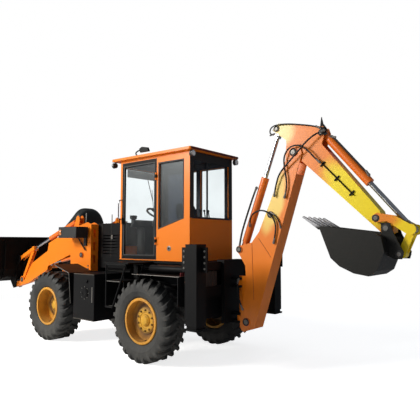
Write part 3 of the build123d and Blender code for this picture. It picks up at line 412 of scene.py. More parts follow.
class MaterialShop:
    """Builds and remembers the materials."""

    def __init__(self) -> None:
        """Start with no materials."""
        self.made: dict[str, bpy.types.Material] = {}

    def get(self, finish: Finish) -> bpy.types.Material:
        """Return a finish's material, made on first use.

        Args:
            finish: What to build.

        Returns:
            The Blender material.
        """
        if finish.name not in self.made:
            material = bpy.data.materials.new(finish.name)
            material.use_nodes = True
            material.node_tree.nodes.clear()
            g = Graph(material.node_tree)
            out = g.add("ShaderNodeOutputMaterial")
            shader = getattr(self, "_" + finish.kind.value)(g, finish)
            g.feed(out.inputs["Surface"], shader)
            self.made[finish.name] = material
        return self.made[finish.name]

    def _worn(self, g: Graph, finish: Finish, bump: float) -> bpy.types.Node:
        """Add a Principled shader fed by the shared wear group.

        Args:
            g: Graph of the material.
            finish: The finish.
            bump: Height of the surface grain, in metres.

        Returns:
            The Principled node.
        """
        wear = g.add("ShaderNodeGroup")
        wear.node_tree = WearGroup.get()
        for name, value in (("Base", finish.base), ("Soil", finish.soil), ("Soiling", finish.soiling),
                            ("Chips", finish.chips), ("Rough", finish.rough)):
            g.feed(wear.inputs[name], value)
        tone = finish.base
        # the patches mix in other colours: a second paint tone, painted highlights and painted shade
        for patch in finish.patches:
            tone = g.mix(self._inside(g, patch), tone, patch.colour)
        if finish.patches:
            g.feed(wear.inputs["Base"], tone)
        raised = g.add("ShaderNodeBump", Height=wear.outputs["Height"], Distance=bump)
        return g.add("ShaderNodeBsdfPrincipled", Base_Color=wear.outputs["Colour"],
                     Roughness=wear.outputs["Roughness"], Normal=raised.outputs[0])

    @staticmethod
    def _inside(g: Graph, patch: Patch) -> bpy.types.NodeSocket:
        """Compute how far a point lies inside a patch.

        Args:
            g: Graph of the material.
            patch: The region.

        Returns:
            An output from 0 outside to 1 inside, with an uneven edge.
        """
        where = g.where()
        local = g.add("ShaderNodeMapping", Vector=where)
        local.vector_type = "TEXTURE"
        local.inputs["Location"].default_value = patch.centre
        local.inputs["Rotation"].default_value = (0.0, radians(patch.tilt), 0.0)
        local.inputs["Scale"].default_value = patch.radii
        uneven = g.math("MULTIPLY", g.math("SUBTRACT", g.noise(where, 4.5), 0.5), 0.5)
        return g.ramp(g.math("ADD", g.length(local.outputs[0]), uneven), 1.1, 0.62)

    def _paint(self, g: Graph, finish: Finish) -> bpy.types.NodeSocket:
        """Sprayed paint with dust, streaks and chips.

        Args:
            g: Graph of the material.
            finish: The finish.

        Returns:
            The shader output.
        """
        node = self._worn(g, finish, bump=0.0015)
        node.inputs["Coat Weight"].default_value = finish.coat
        node.inputs["Coat Roughness"].default_value = 0.18
        node.inputs["Specular IOR Level"].default_value = finish.specular
        return node.outputs[0]

    def _steel(self, g: Graph, finish: Finish) -> bpy.types.NodeSocket:
        """Bare or thinly painted steel, scratched and rusty.

        Args:
            g: Graph of the material.
            finish: The finish.

        Returns:
            The shader output.
        """
        node = self._worn(g, finish, bump=0.003)
        node.inputs["Metallic"].default_value = 0.35
        node.inputs["Specular IOR Level"].default_value = finish.specular
        return node.outputs[0]

    def _rubber(self, g: Graph, finish: Finish) -> bpy.types.NodeSocket:
        """Tyre or hose rubber with dust.

        Args:
            g: Graph of the material.
            finish: The finish.

        Returns:
            The shader output.
        """
        node = self._worn(g, finish, bump=0.002)
        node.inputs["Specular IOR Level"].default_value = finish.specular
        return node.outputs[0]

    def _plastic(self, g: Graph, finish: Finish) -> bpy.types.NodeSocket:
        """Moulded plastic with a fine grain.

        Args:
            g: Graph of the material.
            finish: The finish.

        Returns:
            The shader output.
        """
        where = g.where()
        raised = g.add("ShaderNodeBump", Height=g.noise(where, 260.0, 2.0), Distance=0.0006)
        node = g.add("ShaderNodeBsdfPrincipled", Roughness=finish.rough, Normal=raised.outputs[0])
        pale = tuple(1.5 * c for c in finish.base)
        g.feed(node.inputs["Base Color"], g.mix(g.noise(where, 3.0), finish.base, pale))
        return node.outputs[0]

    def _fabric(self, g: Graph, finish: Finish) -> bpy.types.NodeSocket:
        """Woven cloth with seams left to the mesh.

        Args:
            g: Graph of the material.
            finish: The finish.

        Returns:
            The shader output.
        """
        where = g.where()
        weave = g.add("ShaderNodeTexChecker", Vector=where, Scale=420.0).outputs["Fac"]
        raised = g.add("ShaderNodeBump", Height=weave, Distance=0.0008)
        node = g.add("ShaderNodeBsdfPrincipled", Roughness=finish.rough, Normal=raised.outputs[0])
        pale = tuple(1.8 * c for c in finish.base)
        g.feed(node.inputs["Base Color"], g.mix(g.noise(where, 6.0), finish.base, pale))
        node.inputs["Sheen Weight"].default_value = 0.3
        return node.outputs[0]

    def _chrome(self, g: Graph, finish: Finish) -> bpy.types.NodeSocket:
        """Hard chrome with a film of oil.

        Args:
            g: Graph of the material.
            finish: The finish.

        Returns:
            The shader output.
        """
        where = g.where()
        film = g.ramp(g.noise(where, 11.0, 3.0), 0.35, 0.75)
        node = g.add("ShaderNodeBsdfPrincipled", Metallic=1.0,
                     Roughness=g.math("ADD", finish.rough, g.math("MULTIPLY", film, 0.16)))
        g.feed(node.inputs["Base Color"], finish.base)
        return node.outputs[0]

    def _glass(self, g: Graph, finish: Finish) -> bpy.types.NodeSocket:
        """Thin flat glazing: clear straight on, mirror-like at a low angle, lightly dusty.

        Args:
            g: Graph of the material.
            finish: The finish.

        Returns:
            The shader output.
        """
        where = g.where()
        dust = g.math("MULTIPLY", g.ramp(g.noise(where, 2.4, 5.0), 0.4, 0.85), 0.03)
        clear = g.add("ShaderNodeBsdfTransparent", Color=finish.base)
        gloss = g.add("ShaderNodeBsdfGlossy", Color=(0.9, 0.95, 1.0), Roughness=finish.rough)
        film = g.add("ShaderNodeBsdfDiffuse", Color=(0.45, 0.43, 0.40))
        facing = g.add("ShaderNodeLayerWeight", Blend=0.5).outputs["Facing"]
        shine = g.math("ADD", g.math("MULTIPLY", g.math("POWER", facing, 4.0), 0.5), 0.008)
        return g.blend(dust, g.blend(shine, clear.outputs[0], gloss.outputs[0]), film.outputs[0])

    def _lens(self, g: Graph, finish: Finish) -> bpy.types.NodeSocket:
        """Ribbed lamp lens over a bright reflector.

        Args:
            g: Graph of the material.
            finish: The finish.

        Returns:
            The shader output.
        """
        where = g.where()
        ribs = g.add("ShaderNodeTexWave", Vector=where, Scale=36.0).outputs["Fac"]
        raised = g.add("ShaderNodeBump", Height=ribs, Distance=0.002)
        node = g.add("ShaderNodeBsdfPrincipled", Roughness=finish.rough, Normal=raised.outputs[0])
        g.feed(node.inputs["Base Color"], g.mix(g.math("MULTIPLY", ribs, 0.35), finish.base, (0.2, 0.2, 0.2)))
        node.inputs["Coat Weight"].default_value = 0.8
        return node.outputs[0]


# ------------------------------------------------------------------ meshes from arrays
class Shape:
    """Meshes computed as arrays of points and faces."""

    @staticmethod
    def quads(rows: int, sides: int) -> np.ndarray:
        """Index the faces of a grid that closes round its second direction.

        A face joins a point and the next one round, after the last the first, with the same two in
        the row that follows.

        Args:
            rows: Points along the first direction.
            sides: Points round the second.

        Returns:
            Four indices a row.
        """
        i, j = np.meshgrid(np.arange(rows - 1), np.arange(sides), indexing="ij")
        a, b = i * sides + j, i * sides + (j + 1) % sides
        return np.stack([a, b, b + sides, a + sides], axis=-1).reshape(-1, 4)

    @staticmethod
    def smooth(points: list[Point], steps: int = 12) -> np.ndarray:
        """Run a smooth line through a few points.

        Each stretch is the cubic through its two ends whose slope at each is half the step between
        the points on either side of it.

        Args:
            points: Points the line passes.
            steps: Points on each stretch.

        Returns:
            The line's points.
        """
        p = np.asarray([points[0], *points, points[-1]], float)
        t = np.linspace(0, 1, steps, endpoint=False)[:, None]
        parts = [0.5 * ((2 * p[k]) + (p[k + 1] - p[k - 1]) * t
                        + (2 * p[k - 1] - 5 * p[k] + 4 * p[k + 1] - p[k + 2]) * t ** 2
                        + (3 * p[k] - p[k - 1] - 3 * p[k + 1] + p[k + 2]) * t ** 3)
                 for k in range(1, len(p) - 2)]
        return np.vstack([*parts, p[-1]])

    @staticmethod
    def lathe(profile: Pairs | np.ndarray, origin: Point | np.ndarray, axis: Point | np.ndarray,
              sides: int = 24) -> Mesh:
        """Turn a profile of (distance along the axis, radius) rows about an axis.

        A point is the origin, plus the distance along the axis, plus the radius times the cosine
        and the sine of the turn along two directions square to the axis and to each other.

        Args:
            profile: Rows of distance and radius.
            origin: Point on the axis.
            axis: Its direction.
            sides: Points round it.

        Returns:
            Vertices and quads.
        """
        profile = np.asarray(profile, float)
        n = np.asarray(axis, float) / np.linalg.norm(axis)
        u = np.cross(n, (0.0, 0.0, 1.0) if abs(n[2]) < 0.9 else (1.0, 0.0, 0.0))
        u /= np.linalg.norm(u)
        v = np.cross(n, u)
        angle = np.arange(sides) * 2 * pi / sides
        ring = np.cos(angle)[:, None] * u + np.sin(angle)[:, None] * v
        points = (np.asarray(origin, float) + profile[:, 0, None, None] * n
                  + profile[:, 1, None, None] * ring[None]).reshape(-1, 3)
        return points, Shape.quads(len(profile), sides)

    @staticmethod
    def inset(corners: np.ndarray, width: float) -> np.ndarray:
        """Move a polygon's edges inwards by the same distance.

        Each corner moves by the distance times the sum of its two edges' inward normals, divided
        by one plus their dot product.

        Args:
            corners: Corners in order, one row each.
            width: Distance, negative to grow.

        Returns:
            The moved corners.
        """
        corners = np.asarray(corners, float)
        edge = np.roll(corners, -1, axis=0) - corners
        edge /= np.linalg.norm(edge, axis=1)[:, None]
        area = np.sum(corners[:, 0] * np.roll(corners[:, 1], -1) - corners[:, 1] * np.roll(corners[:, 0], -1))
        inward = np.sign(area) * np.stack([-edge[:, 1], edge[:, 0]], axis=-1)
        before = np.roll(inward, 1, axis=0)
        share = 1.0 + np.sum(inward * before, axis=1)
        return corners + width * (inward + before) / share[:, None]


@dataclass
class Workshop:
    """Puts meshes into the scene on their bodies.

    Attributes:
        shop: Source of materials.
        triangles: Triangles added so far.
    """

    shop: MaterialShop
    triangles: int = 0

    def _hang(self, data: bpy.types.ID, body: str) -> bpy.types.Object:
        """Put mesh or curve data into the scene on its body and report it.

        Args:
            data: Mesh or curve, named as its piece.
            body: Body that carries it.

        Returns:
            The new object.
        """
        item = bpy.data.objects.new(data.name, data)
        bpy.context.scene.collection.objects.link(item)
        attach(item, body)
        LOG.info("%s on %s", item.name, body)
        return item

    def mesh(self, name: str, body: str, finish: Finish, parts: list[Mesh], smooth: bool = True,
             crease: float | None = None) -> bpy.types.Object:
        """Join arrays into one object that rides on a body.

        Args:
            name: Name of the piece.
            body: Body that carries it.
            finish: Its finish.
            parts: Vertices and quads of each part.
            smooth: Shade it smooth.
            crease: Angle in degrees above which an edge is sharp.

        Returns:
            The new object.
        """
        counts = np.cumsum([0] + [len(p) for p, _ in parts])
        points = np.vstack([p for p, _ in parts])
        faces = np.vstack([f + start for (_, f), start in zip(parts, counts)])
        data = bpy.data.meshes.new(name)
        data.from_pydata(points.tolist(), [], faces.tolist())
        data.validate()
        data.polygons.foreach_set("use_smooth", np.full(len(data.polygons), smooth))
        if crease is not None:
            data.set_sharp_from_angle(angle=radians(crease))
        data.materials.append(self.shop.get(finish))
        item = self._hang(data, body)
        self.triangles += 2 * len(faces)
        return item

    def curve(self, name: str, body: str, finish: Finish, points: np.ndarray,
              radius: float) -> bpy.types.Object:
        """Add a round hose or pipe: a circle carried along a quadratic B-spline that meets its end points.

        Args:
            name: Name of the piece.
            body: Body that carries it.
            finish: Its finish.
            points: Control points of the line, in metres.
            radius: Radius of the hose.

        Returns:
            The new object.
        """
        data = bpy.data.curves.new(name, "CURVE")
        data.dimensions = "3D"
        data.resolution_u = 10
        spline = data.splines.new("NURBS")
        spline.points.add(len(points) - 1)
        spline.points.foreach_set("co", np.hstack([points, np.ones((len(points), 1))]).ravel())
        spline.order_u = 3
        spline.use_endpoint_u = True
        data.bevel_depth = radius
        data.bevel_resolution = 3
        data.use_fill_caps = True
        data.materials.append(self.shop.get(finish))
        return self._hang(data, body)


# ------------------------------------------------------------------ CAD nodes
@dataclass
class Dressing:
    """Gives every CAD node its finish, and painted and steel ones a small rounding of their edges.

    Attributes:
        shop: Source of materials.
        finishes: Finish of each node by name.
        edge_width: Width of the rounding in metres.
        edge_angle: Least angle of a rounded edge, in degrees.
    """

    shop: MaterialShop
    finishes: dict[str, Finish] = field(default_factory=dict)
    edge_width: float = 0.003
    edge_angle: float = 40.0

    def finish_of(self, node: str) -> Finish:
        """Return a CAD node's finish, black where none is named."""
        return self.finishes.get(node, BLACK)

    def apply(self, nodes: dict[str, bpy.types.Object]) -> None:
        """Dress every node.

        Args:
            nodes: CAD objects by name.
        """
        for name, item in nodes.items():
            item.data.materials.clear()
            finish = self.finish_of(name)
            item.data.materials.append(self.shop.get(finish))
            if finish.kind in (Kind.PAINT, Kind.STEEL):
                edge = item.modifiers.new("edge", "BEVEL")
                edge.width = self.edge_width
                edge.segments = 2
                edge.limit_method = "ANGLE"
                edge.angle_limit = radians(self.edge_angle)
                edge.harden_normals = False
        LOG.info("dressed %d CAD nodes", len(nodes))


FINISHES: dict[str, Finish] = {
    **dict.fromkeys(("cab_shell", "cab_roof", "loader_towers", "loader_arms", "tilt_levers", "tilt_links",
                     "swing_post"), ORANGE),
    **dict.fromkeys(("hoe_levers", "hoe_link"), LEVER_YELLOW),
    **dict.fromkeys(("dipper_barrel", "boom_barrel", "crowd_barrel", "tilt_barrels", "lift_barrels"),
                    BARREL_ORANGE),
    "carriage": BLACK, "boom": BOOM_ORANGE, "dipper": DIPPER_ORANGE,
    **dict.fromkeys(("rim_front_left", "rim_front_right", "rim_rear_left", "rim_rear_right"), RIM_YELLOW),
    **dict.fromkeys(("tyre_front_left", "tyre_front_right", "tyre_rear_left", "tyre_rear_right"), RUBBER),
    **dict.fromkeys(("boom_rod", "dipper_rod", "crowd_rod", "lift_rods", "tilt_rods"), CHROME),
    **dict.fromkeys(("cab_glass", "door_glass"), GLASS),
    **dict.fromkeys(("driveline", "engine", "valve_block"), CAST),
    "front_cowl": COWL, "hoe_bucket": HOE_STEEL, "loader_bucket": LOADER_STEEL, "seat": SEAT,
    "roof_lamps": PLASTIC, "head_lamps": PLASTIC, "hoe_controls": PLASTIC, "steering_column": PLASTIC,
}


# ------------------------------------------------------------------ fittings
def spots(points: tuple[Point, ...] | list[Point] | np.ndarray) -> np.ndarray:
    """Turn rows of millimetres from the middle of the wheelbase into row metres.

    Args:
        points: Rows of X, Y and Z.

    Returns:
        The same rows in metres, in the row frame.
    """
    return np.asarray(points, float) / 1000.0 + np.array([AXLE_SHIFT, 0.0, 0.0])


def oblong(left: float, right: float, low: float, high: float) -> Pairs:
    """Return a rectangle's corners in order, from its limits in the two directions of its plane."""
    return ((left, low), (right, low), (right, high), (left, high))


@dataclass(frozen=True)
class Tyre:
    """Loader tyre with deep chevron lugs, on the same sizes as its CAD solid.

    Attributes:
        node: CAD node that it replaces.
        body: Body that carries it.
        centre: Centre of the wheel in the row frame.
        lugs: Lugs on each half.
        section: Rows from the centre plane to the bead, in millimetres and degrees: distance from
            the plane and radius of the carcass, the same two of the lug's face, turn, half width.
        across: Columns across a lug: share of its half width, degrees beyond it, share of its height.
    """

    node: str
    body: str
    centre: Point
    lugs: int = 24
    section: tuple[tuple[float, ...], ...] = (
        (0, 555, 0, 555, 5.9, 2.3), (9, 555, 9, 555, 5.4, 2.3), (12, 555, 14, 588, 5.0, 2.3),
        (16, 555, 18, 590, 4.8, 2.3), (45, 555, 45, 590, 3.1, 2.35), (80, 554, 80, 590, 1.1, 2.4),
        (115, 552, 115, 590, -1.0, 2.5), (145, 550, 145, 590, -2.7, 2.55), (166, 546, 166, 589, -4.0, 2.6),
        (178, 539, 176, 580, -4.6, 2.7), (187, 529, 188, 567, -5.0, 2.8), (193, 516, 199, 551, -5.3, 2.85),
        (198, 502, 204, 532, -5.5, 2.9), (201, 488, 205, 510, -5.5, 2.9), (203, 472, 205, 488, -5.5, 2.9),
        (204, 458, 205, 466, -5.5, 2.9), (204, 448, 204, 448, -5.5, 2.9), (203, 436, 203, 436, -5.5, 2.9),
        (204, 428, 204, 428, -5.5, 2.9), (204, 423, 204, 423, -5.5, 2.9), (201, 417, 201, 417, -5.5, 2.9),
        (197, 402, 197, 402, -5.5, 2.9), (191, 385, 191, 385, -5.5, 2.9), (184, 369, 184, 369, -5.5, 2.9),
        (180, 362, 180, 362, -5.5, 2.9), (178, 356, 178, 356, -5.5, 2.9), (170, 346, 170, 346, -5.5, 2.9),
        (160, 337, 160, 337, -5.5, 2.9), (152, 333, 152, 333, -5.5, 2.9), (150, 330, 150, 330, -5.5, 2.9),
        (150, 309, 150, 309, -5.5, 2.9), (0, 309, 0, 309, -5.5, 2.9))
    across: tuple[Point, ...] = (
        (0, -7.5, 0.0), (0, -5.6, 0.0), (-1, -1.0, 0.0), (-1, -0.6, 0.05),
        (-1, 0.05, 0.93), (-1, 0.45, 1.0), (-0.4, 0, 1.0), (0.4, 0, 1.0),
        (1, -0.45, 1.0), (1, -0.05, 0.93), (1, 0.6, 0.05), (1, 1.0, 0.0),
        (0, 5.6, 0.0))

    def half(self, side: int) -> Mesh:
        """Compute one half of the tyre.

        The rows run round the section and the columns round the axle, the same columns for every
        lug. A point's turn is its row's turn plus the column's share of the half width. Its radius
        and its distance from the plane run from the carcass to the lug's face with the height.

        Args:
            side: 1 for the half towards +Y, -1 for the other.

        Returns:
            Vertices and quads.
        """
        y0, r0, y1, r1, turn, wide = (column[:, None] for column in np.asarray(self.section, float).T)
        share, beyond, lift = (column[None, :] for column in np.asarray(self.across, float).T)
        pitch = 360.0 / self.lugs
        local = turn + share * wide + beyond
        angle = (local[:, None, :] + pitch * np.arange(self.lugs)[None, :, None]).reshape(len(y0), -1)
        angle = np.radians(angle + (0.0 if side > 0 else pitch / 2))
        rise = np.tile(lift, (1, self.lugs))
        radius = (r0 + (r1 - r0) * rise) / 1000.0
        across = side * (y0 + (y1 - y0) * rise) / 1000.0
        points = np.stack([radius * np.sin(angle), across, radius * np.cos(angle)], axis=-1)
        faces = Shape.quads(len(y0), angle.shape[1])
        return points.reshape(-1, 3) + np.asarray(self.centre), faces if side > 0 else faces[:, ::-1]

    def build(self, works: Workshop) -> None:
        """Add the tyre in place of its CAD solid.

        Args:
            works: Where meshes are made.
        """
        halves = [self.half(1), self.half(-1)]
        item = works.mesh(self.node + "_tread", self.body, RUBBER, halves, crease=36.0)
        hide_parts(self.node)


@dataclass(frozen=True)
class Wheel:
    """Wheel: tyre, nuts, hub and valve. Profiles are rows of distance outwards and radius, in metres.

    Attributes:
        corner: Corner of the machine, such as front_left.
        axle_x: Row X of the axle.
        side: 1 on the left, -1 on the right.
        face: Hub face, outwards from the tyre's centre plane, in metres.
        nuts: Wheel nuts.
        nut_circle: Radius of the circle they stand on.
        washer: Profile of a washer.
        nut: Profile of a nut.
        stud: Profile of a stud's end.
        hub: Profiles of the hub's plate, cap and dome.
        valve: Profile of the valve.
        valve_turn: Place of the valve, in degrees from the top.
        valve_foot: Radius and distance outwards of the valve's foot.
        valve_drop: Distance of the stem below that foot.
    """

    corner: str
    axle_x: float
    side: int
    face: float
    nuts: int = 10
    nut_circle: float = 0.146
    washer: Pairs = ((-0.002, 0.0), (-0.002, 0.021), (0.004, 0.020), (0.004, 0.0))
    nut: Pairs = ((0.0, 0.0), (0.0, 0.0155), (0.017, 0.0155), (0.021, 0.012), (0.021, 0.0))
    stud: Pairs = ((0.0, 0.0), (0.0, 0.007), (0.031, 0.007), (0.033, 0.005), (0.033, 0.0))
    hub: tuple[Pairs, ...] = (
        ((-0.001, 0.176), (0.006, 0.175), (0.008, 0.170), (0.008, 0.118), (0.004, 0.115), (-0.001, 0.115)),
        ((0.0, 0.086), (0.012, 0.084), (0.016, 0.080), (0.020, 0.076), (0.020, 0.0)),
        ((0.030, 0.0595), (0.0375, 0.055), (0.040, 0.045), (0.041, 0.0)))
    valve: Pairs = ((-0.012, 0.005), (0.020, 0.005), (0.020, 0.0065), (0.034, 0.0065), (0.034, 0.0))
    valve_turn: float = 205.0
    valve_foot: tuple[float, float] = (0.296, 0.150)
    valve_drop: float = 0.020

    def build(self, works: Workshop) -> None:
        """Add the wheel's parts.

        Args:
            works: Where meshes are made.
        """
        body = "wheel_" + self.corner
        centre = (self.axle_x, self.side * WHEEL_Y, WHEEL_Z)
        Tyre("tyre_" + self.corner, body, centre).build(works)
        face = np.array([self.axle_x, self.side * (WHEEL_Y + self.face), WHEEL_Z])
        axis = (0.0, float(self.side), 0.0)
        around = np.arange(self.nuts) * 2 * pi / self.nuts
        ring = face + self.nut_circle * np.stack([np.sin(around), 0 * around, np.cos(around)], axis=-1)
        nuts = [Shape.lathe(rows, spot, axis, sides)
                for rows, sides in ((self.washer, 20), (self.nut, 6), (self.stud, 12)) for spot in ring]
        works.mesh("nuts_" + self.corner, body, CAST_ZINC, nuts, crease=30.0)
        hub = [Shape.lathe(rows, face, axis, 48) for rows in self.hub]
        works.mesh("hub_" + self.corner, body, RIM_YELLOW, hub, crease=30.0)
        turn, (radius, out) = radians(self.valve_turn), self.valve_foot
        outwards = np.array([sin(turn), 0.0, cos(turn)])
        foot = np.array(centre) + radius * outwards + np.array([0.0, self.side * out, 0.0])
        stem = Shape.lathe(self.valve, foot - self.valve_drop * outwards, axis, 12)
        works.mesh("valve_" + self.corner, body, HOSE, [stem])


@dataclass(frozen=True)
class Seal:
    """Rubber seal or frame round an opening: a rounded profile carried round the opening's edge.

    Attributes:
        name: Name of the piece.
        body: Body that carries it.
        plane: "XZ" for a side, "YZ" for the front or back.
        outline: Corners of the opening in millimetres, in that plane.
        faces: Inner and outer place across the plane, in millimetres.
        width: Width outside and inside the edge, in millimetres.
        rounding: Width of the rounded lips, in millimetres.
        depth: Their depth as a share of the seal's.
    """

    name: str
    body: str
    plane: str
    outline: Pairs
    faces: tuple[float, float]
    width: tuple[float, float] = (8.0, 14.0)
    rounding: float = 3.0
    depth: float = 0.25

    def build(self, works: Workshop) -> None:
        """Add the seal.

        Args:
            works: Where meshes are made.
        """
        corners, (foot, top) = np.asarray(self.outline, float), self.faces
        outer, inner = Shape.inset(corners, -self.width[0]), Shape.inset(corners, self.width[1])
        lip = top - self.depth * (top - foot)
        rings = [(outer, foot), (outer, lip), (Shape.inset(outer, self.rounding), top),
                 (Shape.inset(inner, -self.rounding), top), (inner, lip), (inner, foot), (outer, foot)]
        rows = [np.insert(ring, 1 if self.plane == "XZ" else 0, across, axis=1)
                for ring, across in rings]
        faces = Shape.quads(len(rings), len(corners))
        works.mesh(self.name, self.body, SEALING, [(spots(np.vstack(rows)), faces)], smooth=False)


@dataclass(frozen=True)
class Hose:
    """Hose or pipe held at both ends by fittings.

    Attributes:
        name: Name of the piece.
        body: Body that carries it.
        route: Control points in millimetres.
        radius: Radius in metres.
        finish: Its finish, plain hose rubber where none is given.
        ends: Draw the swaged ends and nuts.
        sleeve: Profile of an end: metres from the hose's end, and multiples of the hose's radius.
        reach: Length of an end in metres.
    """

    name: str
    body: str
    route: tuple[Point, ...]
    radius: float = 0.010
    finish: Finish | None = None
    ends: bool = True
    sleeve: Pairs = ((-0.006, 0.0), (-0.006, 1.1), (0.040, 1.25), (0.044, 1.25), (0.046, 1.7),
                     (0.064, 1.7), (0.066, 1.2), (0.076, 1.2), (0.076, 0.0))
    reach: float = 0.07

    def build(self, works: Workshop) -> None:
        """Add the hose and its end fittings.

        Args:
            works: Where meshes are made.
        """
        points = spots(self.route)
        works.curve(self.name, self.body, self.finish or HOSE, points, self.radius)
        if self.ends:
            rows = [(self.reach - along, share * self.radius) for along, share in self.sleeve]
            sleeves = [Shape.lathe(rows, points[end], points[beside] - points[end], 10)
                       for end, beside in ((0, 1), (-1, -2))]
            works.mesh(self.name + "_ends", self.body, ZINC, sleeves, crease=30.0)


@dataclass(frozen=True)
class PinHeads:
    """Pin ends, each in a ring, the same on both sides.

    Attributes:
        name: First words of the pieces' names.
        body: Body that carries them.
        spot: X and Z of the pin in millimetres.
        face: Distance of the head's foot from the centre plane in millimetres.
        radius: Radius of the pin in millimetres.
        boss: Radius of the ring round it in millimetres.
    """

    name: str
    body: str
    spot: tuple[float, float]
    face: float
    radius: float
    boss: float

    def build(self, works: Workshop) -> None:
        """Add both ends.

        Args:
            works: Where meshes are made.
        """
        r, boss = self.radius / 1000.0, self.boss / 1000.0
        head = [(0.0, r), (0.004, r), (0.006, r - 0.003), (0.006, 0.006), (0.003, 0.004), (0.003, 0.0)]
        ring = [(0.0, boss), (0.002, boss), (0.003, boss - 0.002), (0.003, r + 0.002), (0.0, r + 0.002)]
        ends = [(spots([(self.spot[0], side * self.face, self.spot[1])])[0], (0.0, side, 0.0))
                for _, side in SIDES]
        heads = [Shape.lathe(head, *end, 28) for end in ends]
        washers = [Shape.lathe(ring, *end, 32) for end in ends]
        works.mesh(self.name + "_pins", self.body, ZINC, heads, crease=30.0)
        works.mesh(self.name + "_washers", self.body, CAST, washers, crease=30.0)


@dataclass(frozen=True)
class Plate:
    """Flat plate with softened edges: six rings of the outline's corners, from middle to middle.

    Attributes:
        name: Name of the piece.
        body: Body that carries it.
        plane: "XZ", "YZ" or "XY".
        outline: Corners in that plane, in millimetres, seen as convex from the middle.
        faces: Low and high place across the plane, in millimetres.
        finish: Its finish.
        mirrored: Draw the other side's too.
        soft: Greatest width of the softened edge, in millimetres.
    """

    name: str
    body: str
    plane: str
    outline: Pairs
    faces: tuple[float, float]
    finish: Finish
    mirrored: bool = False
    soft: float = 2.0

    def build(self, works: Workshop) -> None:
        """Add the plate.

        Args:
            works: Where meshes are made.
        """
        corners = np.asarray(self.outline, float)
        low, high = self.faces
        edge = min(self.soft, 0.3 * (high - low))
        small = Shape.inset(corners, edge)
        middle = np.repeat(corners.mean(axis=0)[None], len(corners), axis=0)
        rings = [(middle, low), (small, low), (corners, low + edge), (corners, high - edge),
                 (small, high), (middle, high)]
        column = {"XZ": 1, "YZ": 0, "XY": 2}[self.plane]
        points = np.vstack([np.insert(ring, column, depth, axis=1) for ring, depth in rings])
        faces = Shape.quads(len(rings), len(corners))
        parts = [(spots(points), faces)]
        if self.mirrored:
            parts.append((spots(points * np.array([1.0, -1.0, 1.0])), faces[:, ::-1]))
        works.mesh(self.name, self.body, self.finish, parts, smooth=False)


@dataclass(frozen=True)
class Bolts:
    """Hexagon bolts with washers on a flat face.

    Attributes:
        name: Name of the piece.
        body: Body that carries them.
        places: Centres in millimetres.
        axis: Direction out of the face.
        size: Radius of the head in millimetres.
        finish: Their finish, zinc where none is given.
        head: Profile of washer and head, in multiples of the head's radius.
    """

    name: str
    body: str
    places: tuple[Point, ...]
    axis: Point
    size: float = 11.0
    finish: Finish | None = None
    head: Pairs = ((0.0, 0.0), (0.0, 1.45), (0.2, 1.45), (0.2, 1.0), (0.9, 1.0), (1.05, 0.8), (1.05, 0.0))

    def build(self, works: Workshop) -> None:
        """Add the bolts.

        Args:
            works: Where meshes are made.
        """
        head = np.asarray(self.head) * (self.size / 1000.0)
        bolts = [Shape.lathe(head, spot, self.axis, 6) for spot in spots(self.places)]
        works.mesh(self.name, self.body, self.finish or ZINC, bolts, smooth=False)


@dataclass(frozen=True)
class Round:
    """Turned part, such as a lens, cap or lamp ring.

    Attributes:
        name: Name of the piece.
        body: Body that carries it.
        centre: Foot of its axis in millimetres.
        axis: Direction of its axis.
        rows: Rows of distance along the axis and radius, in millimetres.
        finish: Its finish.
    """

    name: str
    body: str
    centre: Point
    axis: Point
    rows: Pairs
    finish: Finish

    def build(self, works: Workshop) -> None:
        """Add the part.

        Args:
            works: Where meshes are made.
        """
        turned = Shape.lathe(np.asarray(self.rows) / 1000.0, spots([self.centre])[0], self.axis, 40)
        works.mesh(self.name, self.body, self.finish, [turned], crease=35.0)


